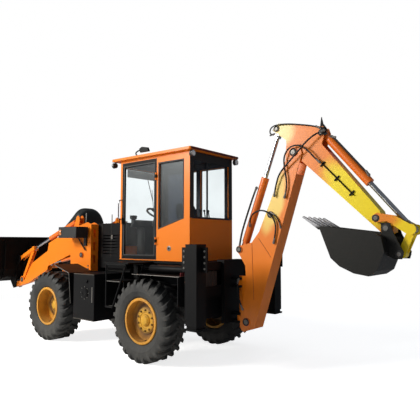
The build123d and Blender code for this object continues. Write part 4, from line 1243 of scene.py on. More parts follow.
@dataclass(frozen=True)
class Cowl:
    """Rounded bonnet in place of the CAD cowl's flat-sided block, in millimetres.

    Attributes:
        side: X and Z of points along its side view.
        half: Half of its width.
        shoulder: Height above which it is rounded over.
        foot: Height of its lower edge.
        middle: X towards which the shoulders are drawn.
        drawn: How far they are drawn, as a share.
        roundness: Power of the sine and cosine across it.
        rings: Points across it.
    """

    side: Pairs = (
        (1046, 1262), (1046, 1700), (1046, 2000), (1060, 2034), (1180, 2042), (1258, 2052), (1284, 2120),
        (1300, 2220), (1335, 2310), (1395, 2358), (1450, 2372), (1510, 2345), (1600, 2262), (1690, 2180),
        (1780, 2100), (1865, 2010), (1928, 1920), (1945, 1820), (1958, 1700), (1930, 1480), (1900, 1262))
    half: float = 298.0
    shoulder: float = 1900.0
    foot: float = 1262.0
    middle: float = 1480.0
    drawn: float = 0.05
    roundness: float = 0.62
    rings: int = 41

    def over(self) -> np.ndarray:
        """Compute the skin over the top as a grid of points, across by along.

        With t from -90 to 90 degrees across the bonnet, a point's Y is the half width times the
        sine of t raised to the roundness with its sign kept. Above the shoulder its height falls
        with the cosine of t raised to the same power, and its X is drawn a little to the middle.

        Returns:
            The points in millimetres.
        """
        side = Shape.smooth([(x, 0.0, z) for x, z in self.side], 5)
        turn = np.linspace(-pi / 2, pi / 2, self.rings)
        across = np.sign(np.sin(turn)) * np.abs(np.sin(turn)) ** self.roundness
        share = np.clip(np.cos(turn), 0.0, 1.0) ** self.roundness
        above = np.maximum(side[:, 2] - self.shoulder, 0.0)
        height = side[None, :, 2] - above[None, :] * (1.0 - share[:, None])
        pulled = 1.0 - self.drawn * (1.0 - share[:, None]) * (above[None, :] > 0)
        x = self.middle + (side[None, :, 0] - self.middle) * pulled
        return np.stack([x, np.broadcast_to(self.half * across[:, None], x.shape), height], axis=-1)

    def build(self, works: Workshop) -> None:
        """Add the bonnet: the skin, and a wall on each side from its edge down to the foot.

        Args:
            works: Where meshes are made.
        """
        points = self.over()
        rows, columns = points.shape[:2]
        i, j = np.meshgrid(np.arange(rows - 1), np.arange(columns - 1), indexing="ij")
        a = i * columns + j
        faces = np.stack([a, a + 1, a + 1 + columns, a + columns], axis=-1).reshape(-1, 4)
        parts = [(spots(points.reshape(-1, 3)), faces)]
        k = np.arange(columns - 1)
        wall = np.stack([k, k + 1, k + 1 + columns, k + columns], axis=-1)
        for edge in (points[0], points[-1]):
            foot = edge.copy()
            foot[:, 2] = self.foot
            parts.append((spots(np.vstack([edge, foot])), wall))
        item = works.mesh("bonnet", "frame", COWL, parts, crease=42.0)
        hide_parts("front_cowl")


@dataclass(frozen=True)
class Seat:
    """Operator's seat: crowned cushions with sewn channels.

    Attributes:
        base: Middle, half sizes and tilt of the cushion that is sat on.
        back: The same of the back rest.
        channels: Y of the sewn lines, in metres.
        seam: Half width and depth of a sewn line: metres, and a share of the thickness.
        grid: Points from pole to pole and points round it.
        powers: Powers of the upright, the flat and the thickness curves.
        crown: Share of the thickness at the rim, and how much the middle adds.
        piping: How far the edge is pinched, as a share, and over what share of the thickness.
    """

    base: tuple[Point, Point, float] = (place(-930, 0, 1800), (0.238, 0.232, 0.051), 0.0)
    back: tuple[Point, Point, float] = (place(-1222, 0, 2065), (0.262, 0.228, 0.048), radians(101.5) + pi)
    channels: tuple[float, ...] = (-0.14, -0.047, 0.047, 0.14)
    seam: tuple[float, float] = (0.007, 0.010)
    grid: tuple[int, int] = (44, 96)
    powers: Point = (0.42, 0.34, 0.75)
    crown: tuple[float, float] = (0.82, 0.18)
    piping: tuple[float, float] = (0.035, 0.25)

    @staticmethod
    def power(value: np.ndarray, exponent: float) -> np.ndarray:
        """Raise the size of each value to a power and keep its sign."""
        return np.sign(value) * np.abs(value) ** exponent

    def cushion(self, centre: Point, half: Point, tilt: float) -> Mesh:
        """Compute one crowned cushion.

        With u from pole to pole and v round it, X is the cosine of u times the cosine of v, Y the
        cosine of u times the sine of v and Z the sine of u, each raised to a power below one so that
        the ball becomes a block. The middle is crowned, the edge is pinched and the channels are sunk.

        Args:
            centre: Middle of the cushion in metres.
            half: Half sizes along its own X, Y and thickness.
            tilt: Turn about +Y in radians.

        Returns:
            Vertices and quads.
        """
        rows, sides = self.grid
        u = np.linspace(-pi / 2, pi / 2, rows)[:, None]
        v = (np.arange(sides) * 2 * pi / sides)[None, :]
        upright, flat, thick = self.powers
        x = self.power(np.cos(u), upright) * self.power(np.cos(v), flat)
        y = self.power(np.cos(u), upright) * self.power(np.sin(v), flat)
        z = self.power(np.sin(u), thick) * np.ones_like(v)
        rim, middle = self.crown
        z = z * (rim + middle * (1 - x ** 2) * (1 - y ** 2))
        pinch = 1.0 - self.piping[0] * np.exp(-(z / self.piping[1]) ** 2)
        points = np.stack([x * pinch * half[0], y * pinch * half[1], z * half[2]], axis=-1)
        width, depth = self.seam
        groove = sum(np.exp(-((points[..., 1] - line) / width) ** 2) for line in self.channels)
        points[..., 2] -= z * depth * groove
        turn = np.array([[cos(tilt), 0.0, sin(tilt)], [0.0, 1.0, 0.0], [-sin(tilt), 0.0, cos(tilt)]])
        return points.reshape(-1, 3) @ turn.T + np.asarray(centre), Shape.quads(rows, sides)

    def build(self, works: Workshop) -> None:
        """Add the cushions in place of the CAD seat.

        Args:
            works: Where meshes are made.
        """
        cushions = [self.cushion(*self.base), self.cushion(*self.back)]
        item = works.mesh("seat_cushions", "frame", SEAT, cushions)
        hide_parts("seat")


# ------------------------------------------------------------------ sub-assemblies
Fitting = Seal | Hose | PinHeads | Plate | Bolts | Round
PinRow = tuple[str, tuple[float, float], float, float, float]


class SubAssembly:
    """Part of the machine that is dressed with fittings."""

    def fittings(self) -> list[Fitting]:
        """Return the fittings in the order in which they are built."""
        raise NotImplementedError

    def build(self, works: Workshop) -> None:
        """Build the fittings and report how many there are.

        Args:
            works: Where meshes are made.
        """
        fittings = self.fittings()
        for fitting in fittings:
            fitting.build(works)
        LOG.info("%s: %d fittings", type(self).__name__, len(fittings))

    @staticmethod
    def pin_heads(first: int, rows: tuple[PinRow, ...]) -> list[Fitting]:
        """Return the pin ends of a linkage.

        Args:
            first: Number in the first one's name.
            rows: Body, X and Z, distance of the face from the centre plane, radius of the pin and of
                its boss.

        Returns:
            One fitting for each row.
        """
        return [PinHeads(f"linkage_{first + number}", *row) for number, row in enumerate(rows)]


@dataclass(frozen=True)
class Wheels:
    """The four wheels.

    Attributes:
        axles: End of the machine, X from the middle of the wheelbase in millimetres and distance of
            the hub's face outwards from the tyre's centre plane in metres.
    """

    axles: tuple[tuple[str, float, float], ...] = (("front", FRONT_X, -0.011), ("rear", REAR_X, 0.059))

    def build(self, works: Workshop) -> None:
        """Add the wheels.

        Args:
            works: Where meshes are made.
        """
        for end, x, face in self.axles:
            for side, s in SIDES:
                Wheel(f"{end}_{side}", place(x, 0, 0)[0], int(s), face).build(works)


@dataclass(frozen=True)
class Cab(SubAssembly):
    """Cab: window seals, linings, trim and lamps. All sizes are in millimetres.

    Attributes:
        inner_x: Rear and front inner faces of the shell.
        inner_y: Inner face of its sides.
        lining: Thickness of the lining.
        door_glass: Outline of the door's window.
        side_glass: Outline of a rear side window.
        right_glass: Outline of the right front window.
        front_glass: Outline of the windscreen.
        rear_glass: Outline of the rear window.
        lamps: X, Y and direction of each roof lamp.
        lamp_body: Profile of a roof lamp's ring.
        lamp_glass: Profile of its lens.
    """

    inner_x: tuple[float, float] = (-1693.0, -221.0)
    inner_y: float = 470.0
    lining: float = 4.0
    door_glass: Pairs = oblong(-998.0, -272.0, 1500.0, 2950.0)
    side_glass: Pairs = ((-1610.0, 2060.0), (-1085.0, 1910.0), (-1085.0, 2930.0), (-1610.0, 2930.0))
    right_glass: Pairs = oblong(-1000.0, -270.0, 1500.0, 2930.0)
    front_glass: Pairs = oblong(-440.0, 440.0, 1640.0, 2950.0)
    rear_glass: Pairs = oblong(-440.0, 440.0, 2065.0, 2930.0)
    lamps: tuple[Point, ...] = ((-1814, 525, -1.0), (-1814, -525, -1.0), (-18, 525, 1.0), (-18, -525, 1.0))
    lamp_body: Pairs = ((0, 44), (3, 46), (6, 46), (7, 43), (7, 40))
    lamp_glass: Pairs = ((2, 0), (2, 42), (5, 41), (9, 30), (11, 12), (11.5, 0))

    @property
    def lining_y(self) -> float:
        """Return the Y of the lining's inner face."""
        return self.inner_y - self.lining

    def seals(self) -> list[Fitting]:
        """Return the rubber seals round the windows and the door."""
        return [
            Seal("door_seal", "door", "XZ", self.door_glass, (508.0, 513.0), (10.0, 12.0)),
            Seal("side_seal_left", "frame", "XZ", self.side_glass, (508.0, 514.0)),
            Seal("side_seal_right", "frame", "XZ", self.side_glass, (-508.0, -514.0)),
            Seal("right_seal", "frame", "XZ", self.right_glass, (-508.0, -514.0)),
            Seal("front_seal", "frame", "YZ", self.front_glass, (-183.0, -176.0), (12.0, 16.0)),
            Seal("rear_seal", "frame", "YZ", self.rear_glass, (-1731.0, -1738.0), (12.0, 16.0)),
            Seal("door_edge", "frame", "XZ", oblong(-1035.0, -235.0, 1440.0, 3000.0),
                 (509.5, 512.0), (9.0, 1.0)),
        ]

    def linings(self) -> list[Fitting]:
        """Return the linings, the tinted film and what stands inside."""
        return [
            Plate("headliner", "frame", "XY", oblong(self.inner_x[0], self.inner_x[1], -self.inner_y,
                                                     self.inner_y), (3036, 3046), LINING),
            Plate("right_header_lining", "frame", "XZ", oblong(self.inner_x[0], self.inner_x[1], 2930, 3036),
                  (-self.inner_y, -self.lining_y), LINING),
            Plate("right_post_lining", "frame", "XZ", oblong(-1085, -1000, 1450, 2930),
                  (-self.inner_y, -self.lining_y), LINING),
            Plate("front_post_lining", "frame", "XZ", oblong(-270, -221, 1450, 2930),
                  (-self.inner_y, -self.lining_y), LINING),
            Plate("rear_post_linings", "frame", "XZ", oblong(-1693, -1610, 1450, 2930),
                  (self.lining_y, self.inner_y), LINING, True),
            Plate("quarter_linings", "frame", "XZ", ((-1610, 1450), (-1085, 1450), (-1085, 1910),
                                                     (-1610, 2060)), (self.lining_y, self.inner_y), LINING,
                  True),
            *[Plate(f"front_lining_{n}", "frame", "YZ", oblong(low, high, 1450, 3036),
                    (self.inner_x[1] - self.lining, self.inner_x[1]), LINING)
              for n, (low, high) in enumerate(((-self.lining_y, -440), (440, self.lining_y)))],
            *[Plate(f"rear_lining_{n}", "frame", "YZ", oblong(low, high, 1450, 3036),
                    (self.inner_x[0], self.inner_x[0] + self.lining), LINING)
              for n, (low, high) in enumerate(((-self.lining_y, -440), (440, self.lining_y)))],
            Plate("front_header_lining", "frame", "YZ", oblong(-440, 440, 2950, 3036),
                  (self.inner_x[1] - self.lining, self.inner_x[1]), LINING),
            Plate("rear_header_lining", "frame", "YZ", oblong(-440, 440, 2930, 3036),
                  (self.inner_x[0], self.inner_x[0] + self.lining), LINING),
            Plate("rear_panel_lining", "frame", "YZ", oblong(-440, 440, 1450, 2065),
                  (self.inner_x[0], self.inner_x[0] + self.lining), LINING),
            Plate("quarter_film", "frame", "XZ", self.side_glass, (474, 476), TINT),
            Plate("sun_visor", "frame", "YZ", oblong(-430, 430, 2790, 2915), (-262, -250), CREAM),
            Plate("dash", "frame", "YZ", ((-330, 1960), (330, 1960), (290, 2080), (-290, 2080)), (-300, -225),
                  PLASTIC),
            Plate("right_console", "frame", "XY", oblong(-1080, -560, -470, -330), (1748, 1860),
                  PLASTIC),
            Plate("floor_mat", "frame", "XY", oblong(-1030, -430, -440, 440), (1448.5, 1456), SEALING),
            *[Round(f"control_knob_{n}", "frame", (-1450.0, y, 2200.0), (0.18, 0.0, 1.0),
                    ((-14, 0), (-14, 10), (-4, 17), (8, 19), (18, 15), (24, 0)), PLASTIC)
              for n, y in enumerate((-250, -150, -50, 50, 150, 250))],
        ]

    def outside(self) -> list[Fitting]:
        """Return the trim, wiper, handle and mirror on the outside."""
        return [
            Hose("grab_handle", "frame", ((-208, 509, 2400), (-208, 560, 2398), (-208, 572, 2360),
                                          (-208, 572, 2240), (-208, 572, 2120), (-208, 560, 2082),
                                          (-208, 509, 2080)), 0.010, CHROME, False),
            Hose("wiper_arm", "frame", ((-172, -60, 2962), (-166, -66, 2950), (-162, -150, 2700),
                                        (-166, -235, 2440)), 0.006, BLACK, False),
            Plate("wiper_blade", "frame", "YZ", ((-262, 2240), (-252, 2236), (-206, 2640), (-216, 2642)),
                  (-170, -164), SEALING),
            # a maroon plate painting the shade on the roof's rear edge
            Plate("roof_rear_shade_band", "frame", "YZ", oblong(-575, 575, 3053, 3087), (-1817, -1813), ROOF_EDGE_SHADE),
            Plate("rear_post_left", "frame", "YZ", oblong(442, 508, 2060, 3046), (-1737, -1731), SEALING),
            Plate("rear_post_right", "frame", "YZ", oblong(-508, -442, 2060, 3046), (-1737, -1731),
                  SEALING),
            Plate("rear_header", "frame", "YZ", oblong(-442, 442, 2928, 3046), (-1737, -1731), SEALING),
            Plate("rear_bar", "frame", "YZ", oblong(95, 135, 2066, 2929), (-1733, -1727), SEALING),
            Bolts("roof_bolts", "frame", tuple((x, y, 3090.0) for x in (-1700.0, -130.0)
                                               for y in (-480.0, 480.0)), (0.0, 0.0, 1.0), 9.0),
            *[Round(f"roof_ring_{n}", "frame", (x, y, 2995.0), (a, 0.0, 0.0), self.lamp_body, CHROME)
              for n, (x, y, a) in enumerate(self.lamps)],
            *[Round(f"roof_lens_{n}", "frame", (x, y, 2995.0), (a, 0.0, 0.0), self.lamp_glass, WHITE_LENS)
              for n, (x, y, a) in enumerate(self.lamps)],
            Round("panel_lock_ring", "frame", (-1319.0, 510.0, 1612.0), (0.0, 1.0, 0.0),
                  ((0, 0), (0, 40), (5, 39), (7, 35), (7, 18), (4, 16), (4, 0)), ZINC),
            Round("panel_lock_core", "frame", (-1319.0, 514.0, 1612.0), (0.0, 1.0, 0.0),
                  ((-1, 0), (-1, 15), (3, 14), (4, 0)), BLACK),
            Hose("mirror_arm", "frame", ((-640, 560, 3092), (-640, 600, 3110), (-690, 606, 3150),
                                         (-800, 600, 3165)), 0.010, BLACK, False),
            Plate("mirror_head", "frame", "XZ", ((-960, 3118), (-760, 3120), (-740, 3180), (-800, 3205),
                                                 (-930, 3180)), (575, 612), BLACK),
        ]

    def fittings(self) -> list[Fitting]:
        """Return the fittings in the order in which they are built."""
        return [*self.seals(), *self.linings(), *self.outside()]


@dataclass(frozen=True)
class Hood(SubAssembly):
    """Engine hood: grille, door seams, latches and what stands on it. All sizes are in millimetres.

    Attributes:
        side_y: Side of the hood.
        seam: Height of a seam's bead on it.
        latch: Height of a latch on it.
    """

    side_y: float = 355.0
    seam: float = 2.5
    latch: float = 12.0

    def fittings(self) -> list[Fitting]:
        """Return the fittings in the order in which they are built."""
        return [
            *[Plate(f"grille_{n}", "frame", "YZ", oblong(-236, 236, z, z + 12),
                    (1885, 1925 + 0.06 * (z - 1340)), BLACK) for n, z in enumerate(range(1340, 1700, 42))],
            Plate("hood_door_seams", "frame", "XZ", oblong(246, 252, 1440, 2030),
                  (self.side_y, self.side_y + self.seam), GREY, True),
            Plate("hood_rear_seams", "frame", "XZ", oblong(-140, -133, 1440, 2030),
                  (self.side_y, self.side_y + self.seam), GREY, True),
            Plate("hood_front_seams", "frame", "XZ", oblong(500, 506, 1440, 2030),
                  (self.side_y, self.side_y + self.seam), GREY, True),
            Plate("hood_latches", "frame", "XZ", oblong(200, 236, 1760, 1830),
                  (self.side_y, self.side_y + self.latch), ZINC, True),
            Plate("cowl_strips", "frame", "XZ", ((1050, 2040), (1078, 2040), (1078, 2252), (1050, 2248)),
                  (300, 303), ZINC, True),
            Bolts("hood_bolts", "frame", tuple((x, y, 2035.0) for x in (-120.0, 440.0, 960.0)
                                               for y in (-320.0, 320.0)), (0.0, 0.0, 1.0), 8.0),
            Round("hood_filler", "frame", (60.0, 200.0, 2035.0), (0.0, 0.0, 1.0),
                  ((-1, 0), (-1, 34), (10, 34), (12, 38), (30, 38), (34, 34), (34, 0)), DARK_ORANGE),
            Round("engine_intake", "frame", (300.0, -190.0, 2035.0), (0.0, 0.0, 1.0),
                  ((-1, 0), (-1, 40), (90, 40), (95, 62), (150, 66), (160, 60), (166, 0)), BLACK),
        ]


@dataclass(frozen=True)
class Deck(SubAssembly):
    """Chassis and deck: flaps, tanks, steps, valve block and legs. All sizes are in millimetres.

    Attributes:
        treads: Height and rear end of each step.
        air_tank: Profile of an air tank.
    """

    treads: Pairs = ((740.0, -610.0), (1119.4, -788.7))
    air_tank: Pairs = ((0, 0), (0, 26), (14, 46), (30, 54), (740, 54), (756, 46), (770, 26), (770, 0))

    def edges(self) -> list[Fitting]:
        """Return the beading, flaps and skirts."""
        return [
            *[Hose(f"fender_edge_{side}", "frame", ((980, s * 1002, 1319), (760, s * 1002, 1259),
                                                    (545, s * 1002, 1202), (520, s * 1002, 1185),
                                                    (500, s * 1002, 1000), (463, s * 1002, 702)), 0.005, ZINC,
                   False) for side, s in SIDES],
            *[Hose(f"deck_edge_{side}", "frame",
                   ((-1950, s * 952, 1243), (-1480, s * 952, 1243), (-1000, s * 952, 1243)),
                   0.005, ZINC, False) for side, s in SIDES],
            Plate("mud_flaps", "frame", "YZ", oblong(560, 980, 850, 1242), (-1948, -1941), SEALING),
            Plate("right_mud_flap", "frame", "YZ", oblong(-980, -560, 850, 1242), (-1948, -1941), SEALING),
            Plate("deck_tank_side", "frame", "XZ", oblong(-1700, -225, 1240, 1384), (-300, -292),
                  SEALING),
            Plate("deck_skirt", "frame", "XZ", oblong(-1733, -235, 1240, 1386), (-508, -500), SEALING),
            Plate("deck_trim", "frame", "XZ", oblong(-1733, -181, 1424, 1436), (510, 516), ORANGE,
                  True),
        ]

    def steps(self) -> list[Fitting]:
        """Return the noses and grips of the steps."""
        return [
            *[Plate(f"tread_{n}_nose", "frame", "XZ", oblong(rear, -450, low - 6, low + 4),
                    (985, 989), ZINC, True) for n, (low, rear) in enumerate(self.treads)],
            *[Plate(f"tread_{n}_grip_{k}", "frame", "XY", oblong(rear + 12, -462, y, y + 14), (low, low + 4),
                    ZINC, True) for n, (low, rear) in enumerate(self.treads)
              for k, y in enumerate((680, 740, 800, 860, 920))],
        ]

    def tanks(self) -> list[Fitting]:
        """Return the fittings of the side tanks and the tanks under the deck."""
        return [
            Plate("tank_sight", "frame", "XZ", oblong(-128, -112, 760, 1000), (1000, 1006), ZINC, True),
            Plate("tank_flange", "frame", "XZ", oblong(-168, 378, 1186, 1200), (1000, 1006), GREY, True),
            Plate("tank_rim", "frame", "XZ", oblong(-168, 378, 472, 486), (1000, 1006), GREY, True),
            Bolts("tank_bolts", "frame", tuple((80 + 98 * sin(a), 1000.0, 900 + 98 * cos(a))
                                       for a in np.arange(8) * pi / 4), (0.0, 1.0, 0.0), 6.0),
            *[Round(f"air_tank_{n}", "frame", (-1880.0, y, z), (1.0, 0.0, 0.0), self.air_tank, BLACK)
              for n, (y, z) in enumerate(((560, 1318), (690, 1318), (-560, 1318), (-690, 1318)))],
            *[Round(f"deck_box_{n}", "frame", (-1000.0, y, 1325.0), (1.0, 0.0, 0.0),
                    ((0, 0), (0, 52), (20, 56), (330, 56), (350, 52), (350, 0)), BLACK)
              for n, y in enumerate((420, -420))],
            *[Round(f"tank_cover_{n}", "frame", (80.0, s * 1012.0, 900.0), (0.0, float(s), 0.0),
                    ((-1, 0), (-1, 84), (2, 82), (3, 66), (8, 62), (8, 34), (3, 30), (3, 0)), BLACK)
              for n, s in enumerate((1, -1))],
            *[Round(f"tank_cap_{n}", "frame", (20.0, s * 1000.0, 1085.0), (0.0, float(s), 0.0),
                    ((-1, 0), (-1, 30), (8, 30), (10, 27), (22, 26), (24, 22), (24, 0)), BLACK)
              for n, s in enumerate((1, -1))],
        ]

    def rear(self) -> list[Fitting]:
        """Return the hoses of the valve block, the rear cover, lamps and bolts of the legs."""
        return [
            Hose("valve_hose_upper", "frame", ((-2045, 622, 1275), (-2045, 690, 1270), (-2045, 700, 1200),
                                               (-2045, 690, 1130), (-2045, 622, 1125)), 0.011),
            Hose("valve_hose_lower", "frame", ((-2025, 622, 1245), (-2025, 662, 1240), (-2025, 672, 1200),
                                               (-2025, 662, 1160), (-2025, 622, 1155)), 0.009),
            Plate("grey_cover", "frame", "YZ", oblong(640, 755, 1085, 1310), (-2095, -2088), GREY),
            Bolts("cover_bolts", "frame", tuple((-2095.0, y, z) for y in (652.0, 743.0)
                                                for z in (1100, 1296)), (-1.0, 0.0, 0.0), 5.0),
            Plate("rear_lamp_left", "frame", "YZ", oblong(850, 940, 1255, 1300), (-1962, -1952), RED_LENS),
            Plate("rear_lamp_right", "frame", "YZ", oblong(-940, -850, 1255, 1300), (-1962, -1952),
                  RED_LENS),
            *[Bolts(f"leg_bolts_{side}", "frame",
                    tuple((x, s * 935.0, z) for x in (-2376.0, -2020.0) for z in (1365, 1440, 1515, 1590)),
                    (0.0, s, 0.0), 12.0) for side, s in SIDES],
        ]

    def fittings(self) -> list[Fitting]:
        """Return the fittings in the order in which they are built."""
        return [*self.edges(), *self.steps(), *self.tanks(), *self.rear()]


@dataclass(frozen=True)
class Loader(SubAssembly):
    """Loader: towers, lamp boxes and pin ends. All sizes are in millimetres.

    Attributes:
        pins: Rows of the pin ends.
    """

    pins: tuple[PinRow, ...] = (
        ("frame", (1150, 1850), 549.0, 32, 52),
        ("frame", (850, 1480), 549.0, 24, 44),
        ("loader_arms", (3250, 815), 500.5, 24, 44),
        ("loader_arms", (2985, 930), 500.5, 24, 50))

    def boxes(self) -> list[Fitting]:
        """Return the lamp boxes' trim, the head lamps and the bolts of the towers."""
        return [
            Plate("box_trim", "frame", "XZ", oblong(646, 1174, 1786, 1969), (800, 803), PLASTIC, True),
            Plate("box_indicator", "frame", "XZ", oblong(1090, 1150, 1830, 1925), (802, 812),
                  AMBER_LENS, True),
            Plate("box_struts", "frame", "XZ", ((700, 1560), (735, 1560), (960, 1782), (915, 1782)),
                  (549, 556), BLACK, True),
            *[Round(f"head_ring_{n}", "frame", (1180.0, s * 680.0, 1878.0), (1.0, 0.0, 0.0),
                    ((0, 84), (10, 86), (16, 84), (18, 76), (4, 74)), CHROME) for n, s in enumerate((1, -1))],
            *[Round(f"head_lens_{n}", "frame", (1180.0, s * 680.0, 1878.0), (1.0, 0.0, 0.0),
                    ((4, 0), (4, 76), (12, 72), (22, 50), (26, 22), (27, 0)), WHITE_LENS)
              for n, s in enumerate((1, -1))],
            *[Bolts(f"tower_bolts_{side}", "frame",
                    tuple((x, s * 528.0, z) for x in (660.0, 1120.0) for z in (1240, 1290)),
                    (0.0, s, 0.0), 12.0) for side, s in SIDES],
        ]

    def fittings(self) -> list[Fitting]:
        """Return the fittings in the order in which they are built."""
        return [*self.boxes(), *self.pin_heads(9, self.pins)]


@dataclass(frozen=True)
class Hoe(SubAssembly):
    """Digging arm: hoses, welds, brackets and pin ends. All sizes are in millimetres.

    Attributes:
        pins: Rows of the pin ends.
    """

    pins: tuple[PinRow, ...] = (
        ("boom", (-2440, 600), 124.0, 32, 54),
        ("boom", (-3210, 2890), 124.0, 32, 54),
        ("boom", (-2325, 1604), 124.0, 24, 46),
        ("boom", (-2850, 2080), 124.0, 24, 46),
        ("dipper", (-2945, 3245), 100.0, 24, 42),
        ("dipper", (-3600, 3095), 100.0, 24, 42),
        ("hoe_levers", (-4275, 1985), 134.0, 24, 44),
        ("hoe_bucket", (-4395, 1865), 156.0, 24, 46),
        ("hoe_bucket", (-4530, 1575), 156.0, 24, 44))

    def hoses(self) -> list[Fitting]:
        """Return the hoses and pipes along the arm."""
        return [
            Hose("joint_hose_outer", "boom", ((-3660, 112, 3112), (-3560, 150, 3085), (-3430, 168, 3000),
                                              (-3290, 168, 2865), (-3130, 160, 2725), (-3010, 150, 2615),
                                              (-2960, 142, 2480), (-2938, 138, 2400), (-2925, 136, 2320)),
                 0.011),
            Hose("joint_hose_inner", "boom", ((-3600, 130, 2705), (-3530, 140, 2770), (-3440, 150, 2880),
                                              (-3330, 156, 2965), (-3180, 156, 2965), (-3085, 150, 2850),
                                              (-3088, 144, 2690), (-3120, 140, 2520), (-3112, 136, 2390),
                                              (-3078, 134, 2290)), 0.011),
            Hose("boom_hose_arch", "boom", ((-2470, 60, 1930), (-2510, 110, 2040), (-2600, 140, 2120),
                                            (-2740, 146, 2150), (-2880, 142, 2080), (-2945, 136, 1950),
                                            (-2935, 132, 1820), (-2902, 130, 1690)), 0.011),
            Hose("boom_hose_side", "boom", ((-2860, 122, 2110), (-2930, 128, 2070), (-2990, 128, 1990),
                                            (-3012, 124, 1890)), 0.008),
            Hose("barrel_hose", "dipper_barrel", ((-2290, 62, 1620), (-2322, 74, 1780), (-2406, 76, 2010),
                                                  (-2486, 76, 2210), (-2560, 70, 2400), (-2596, 58, 2480)),
                 0.013),
            Hose("tail_hose", "dipper", ((-2920, 92, 3180), (-2880, 112, 3168), (-2850, 116, 3205),
                                         (-2866, 114, 3268), (-2945, 112, 3298), (-3120, 108, 3286),
                                         (-3330, 106, 3240), (-3540, 102, 3186), (-3592, 94, 3150)), 0.009),
            Hose("crowd_pipe", "crowd_barrel", ((-3700, 30, 3040), (-3735, 36, 3030), (-3850, 36, 2894),
                                                (-4030, 36, 2680), (-4165, 36, 2520), (-4176, 26, 2496)),
                 0.012),
            *[Hose(f"post_hose_{side}", "swing_post", ((-2300, s * 96, 1190), (-2290, s * 130, 1080),
                                                       (-2330, s * 140, 900), (-2380, s * 110, 760)), 0.011)
              for side, s in SIDES],
        ]

    def welds(self) -> list[Fitting]:
        """Return the weld beads, brackets and the boss of the bucket."""
        return [
            Hose("foot_weld", "boom", ((-2540, 110.5, 1690), (-2552, 110.5, 1300), (-2568, 110.5, 915)),
                 0.004, DARK_ORANGE, False),
            Hose("side_weld", "boom", ((-2650, 110.5, 1760), (-2750, 110.5, 1640), (-2850, 110.5, 1500)),
                 0.004, DARK_ORANGE, False),
            Plate("joint_bracket", "dipper", "XZ", ((-3590, 3180), (-3645, 3150), (-3690, 3060),
                                                    (-3640, 3050), (-3600, 3120)), (92, 100), BLACK),
            Plate("joint_horn", "dipper", "XZ", ((-3570, 3150), (-3690, 3100), (-3650, 3170), (-3612, 3222),
                                                 (-3600, 3300), (-3592, 3300)), (60, 72), BLACK),
            Round("hoe_boss", "hoe_bucket", (-4395.0, 158.0, 1865.0), (0.0, 1.0, 0.0),
                  ((-1, 0), (-1, 30), (6, 30), (9, 26), (9, 0)), ZINC),
        ]

    def fittings(self) -> list[Fitting]:
        """Return the fittings in the order in which they are built."""
        return [*self.hoses(), *self.welds(), *self.pin_heads(0, self.pins)]


# ------------------------------------------------------------------ studio
@dataclass(frozen=True)
class View:
    """Main view of the machine, from behind its left rear corner.

    Attributes:
        spot: Place of the eye in the row frame.
        yaw: Direction in plan, in degrees from +X towards +Y.
        pitch: Degrees above level.
        lens: Focal length on a 36 mm sensor.
    """

    spot: Point = (-5.863, 5.381, 1.712)
    yaw: float = -50.403
    pitch: float = 3.996
    lens: float = 39.03

    def build(self) -> None:
        """Add the camera and make it the scene's."""
        data = bpy.data.cameras.new("camera")
        data.lens = self.lens
        data.sensor_width = 36.0
        data.clip_end = 200.0
        data.dof.use_dof = False
        item = bpy.data.objects.new("camera", data)
        look = Vector((cos(radians(self.pitch)) * cos(radians(self.yaw)),
                       cos(radians(self.pitch)) * sin(radians(self.yaw)), sin(radians(self.pitch))))
        item.rotation_euler = look.to_track_quat("-Z", "Y").to_euler()
        item.location = self.spot
        bpy.context.scene.collection.objects.link(item)
        bpy.context.scene.camera = item


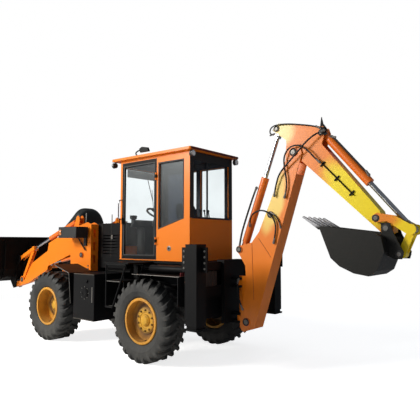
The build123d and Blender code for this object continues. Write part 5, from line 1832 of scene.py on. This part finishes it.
@dataclass(frozen=True)
class Studio:
    """Pale floor, soft lights and white surroundings.

    Attributes:
        lights: Name, place, size, watts and colour of each light.
        target: Point that the lights face.
        floor_half: Half of the floor's size in metres.
        fade: Distances from the middle where the floor starts to fade to white and where it is white.
    """

    lights: tuple[tuple[str, Point, float, float, Point], ...] = (
        ("key", (5.5, 10.0, 6.5), 4.0, 1650.0, (1.0, 0.97, 0.91)),
        ("fill", (-9.0, 3.0, 5.0), 7.0, 18.0, (0.86, 0.92, 1.0)),
        ("top", (1.0, 1.0, 11.0), 8.0, 150.0, (1.0, 1.0, 1.0)))
    target: Point = (0.0, 0.0, 1.2)
    floor_half: float = 60.0
    fade: tuple[float, float] = (4.2, 8.0)

    def build(self) -> None:
        """Add the floor, lights and world."""
        self._world()
        self._floor()
        for name, spot, size, watts, colour in self.lights:
            data = bpy.data.lights.new(name, "AREA")
            data.energy, data.size, data.color = watts, size, colour
            item = bpy.data.objects.new(name, data)
            item.location = spot
            item.rotation_euler = (Vector(self.target) - Vector(spot)).to_track_quat("-Z", "Y").to_euler()
            bpy.context.scene.collection.objects.link(item)
        bpy.context.scene.view_settings.view_transform = "Standard"

    def _world(self) -> None:
        """White to the camera, a soft grey sky to everything else."""
        world = bpy.data.worlds.new("world")
        bpy.context.scene.world = world
        world.use_nodes = True
        world.node_tree.nodes.clear()
        g = Graph(world.node_tree)
        ray = g.add("ShaderNodeLightPath").outputs["Is Camera Ray"]
        sky = g.add("ShaderNodeBackground", Color=(0.74, 0.81, 0.92), Strength=0.19)
        white = g.add("ShaderNodeBackground", Color=(1.0, 1.0, 1.0), Strength=1.0)
        both = g.blend(ray, sky.outputs[0], white.outputs[0])
        g.feed(g.add("ShaderNodeOutputWorld").inputs["Surface"], both)

    def _floor(self) -> None:
        """Large pale floor that melts into the white surroundings."""
        size = self.floor_half
        data = bpy.data.meshes.new("floor")
        data.from_pydata([(-size, -size, 0), (size, -size, 0), (size, size, 0), (-size, size, 0)],
                         [], [(0, 1, 2, 3)])
        material = bpy.data.materials.new("floor")
        material.use_nodes = True
        material.node_tree.nodes.clear()
        g = Graph(material.node_tree)
        shade = g.add("ShaderNodeBsdfDiffuse", Color=(0.82, 0.82, 0.82))
        glow = g.add("ShaderNodeEmission", Color=(1.0, 1.0, 1.0), Strength=0.78)
        lit = g.tree.nodes.new("ShaderNodeAddShader")
        g.feed(lit.inputs[0], shade.outputs[0])
        g.feed(lit.inputs[1], glow.outputs[0])
        white = g.add("ShaderNodeEmission", Color=(1.0, 1.0, 1.0), Strength=1.0)
        faded = g.blend(g.ramp(g.length(g.where()), *self.fade), lit.outputs[0], white.outputs[0])
        ray = g.add("ShaderNodeLightPath").outputs["Is Camera Ray"]
        plain = g.blend(ray, shade.outputs[0], faded)
        g.feed(g.add("ShaderNodeOutputMaterial").inputs["Surface"], plain)
        data.materials.append(material)
        item = bpy.data.objects.new("floor", data)
        item.location = (0, 0, -0.001)
        bpy.context.scene.collection.objects.link(item)


def main() -> None:
    logging.basicConfig(level=logging.INFO, format="%(name)s: %(message)s")
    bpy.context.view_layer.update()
    shop = MaterialShop()
    Dressing(shop, FINISHES).apply(frame["nodes"])
    works = Workshop(shop)
    View().build()
    for part in (Wheels(), Seat(), Cowl(), Cab(), Hood(), Deck(), Loader(), Hoe()):
        part.build(works)
    Studio().build()
    LOG.info("%d triangles added", works.triangles)


if __name__ == "__main__":
    main()
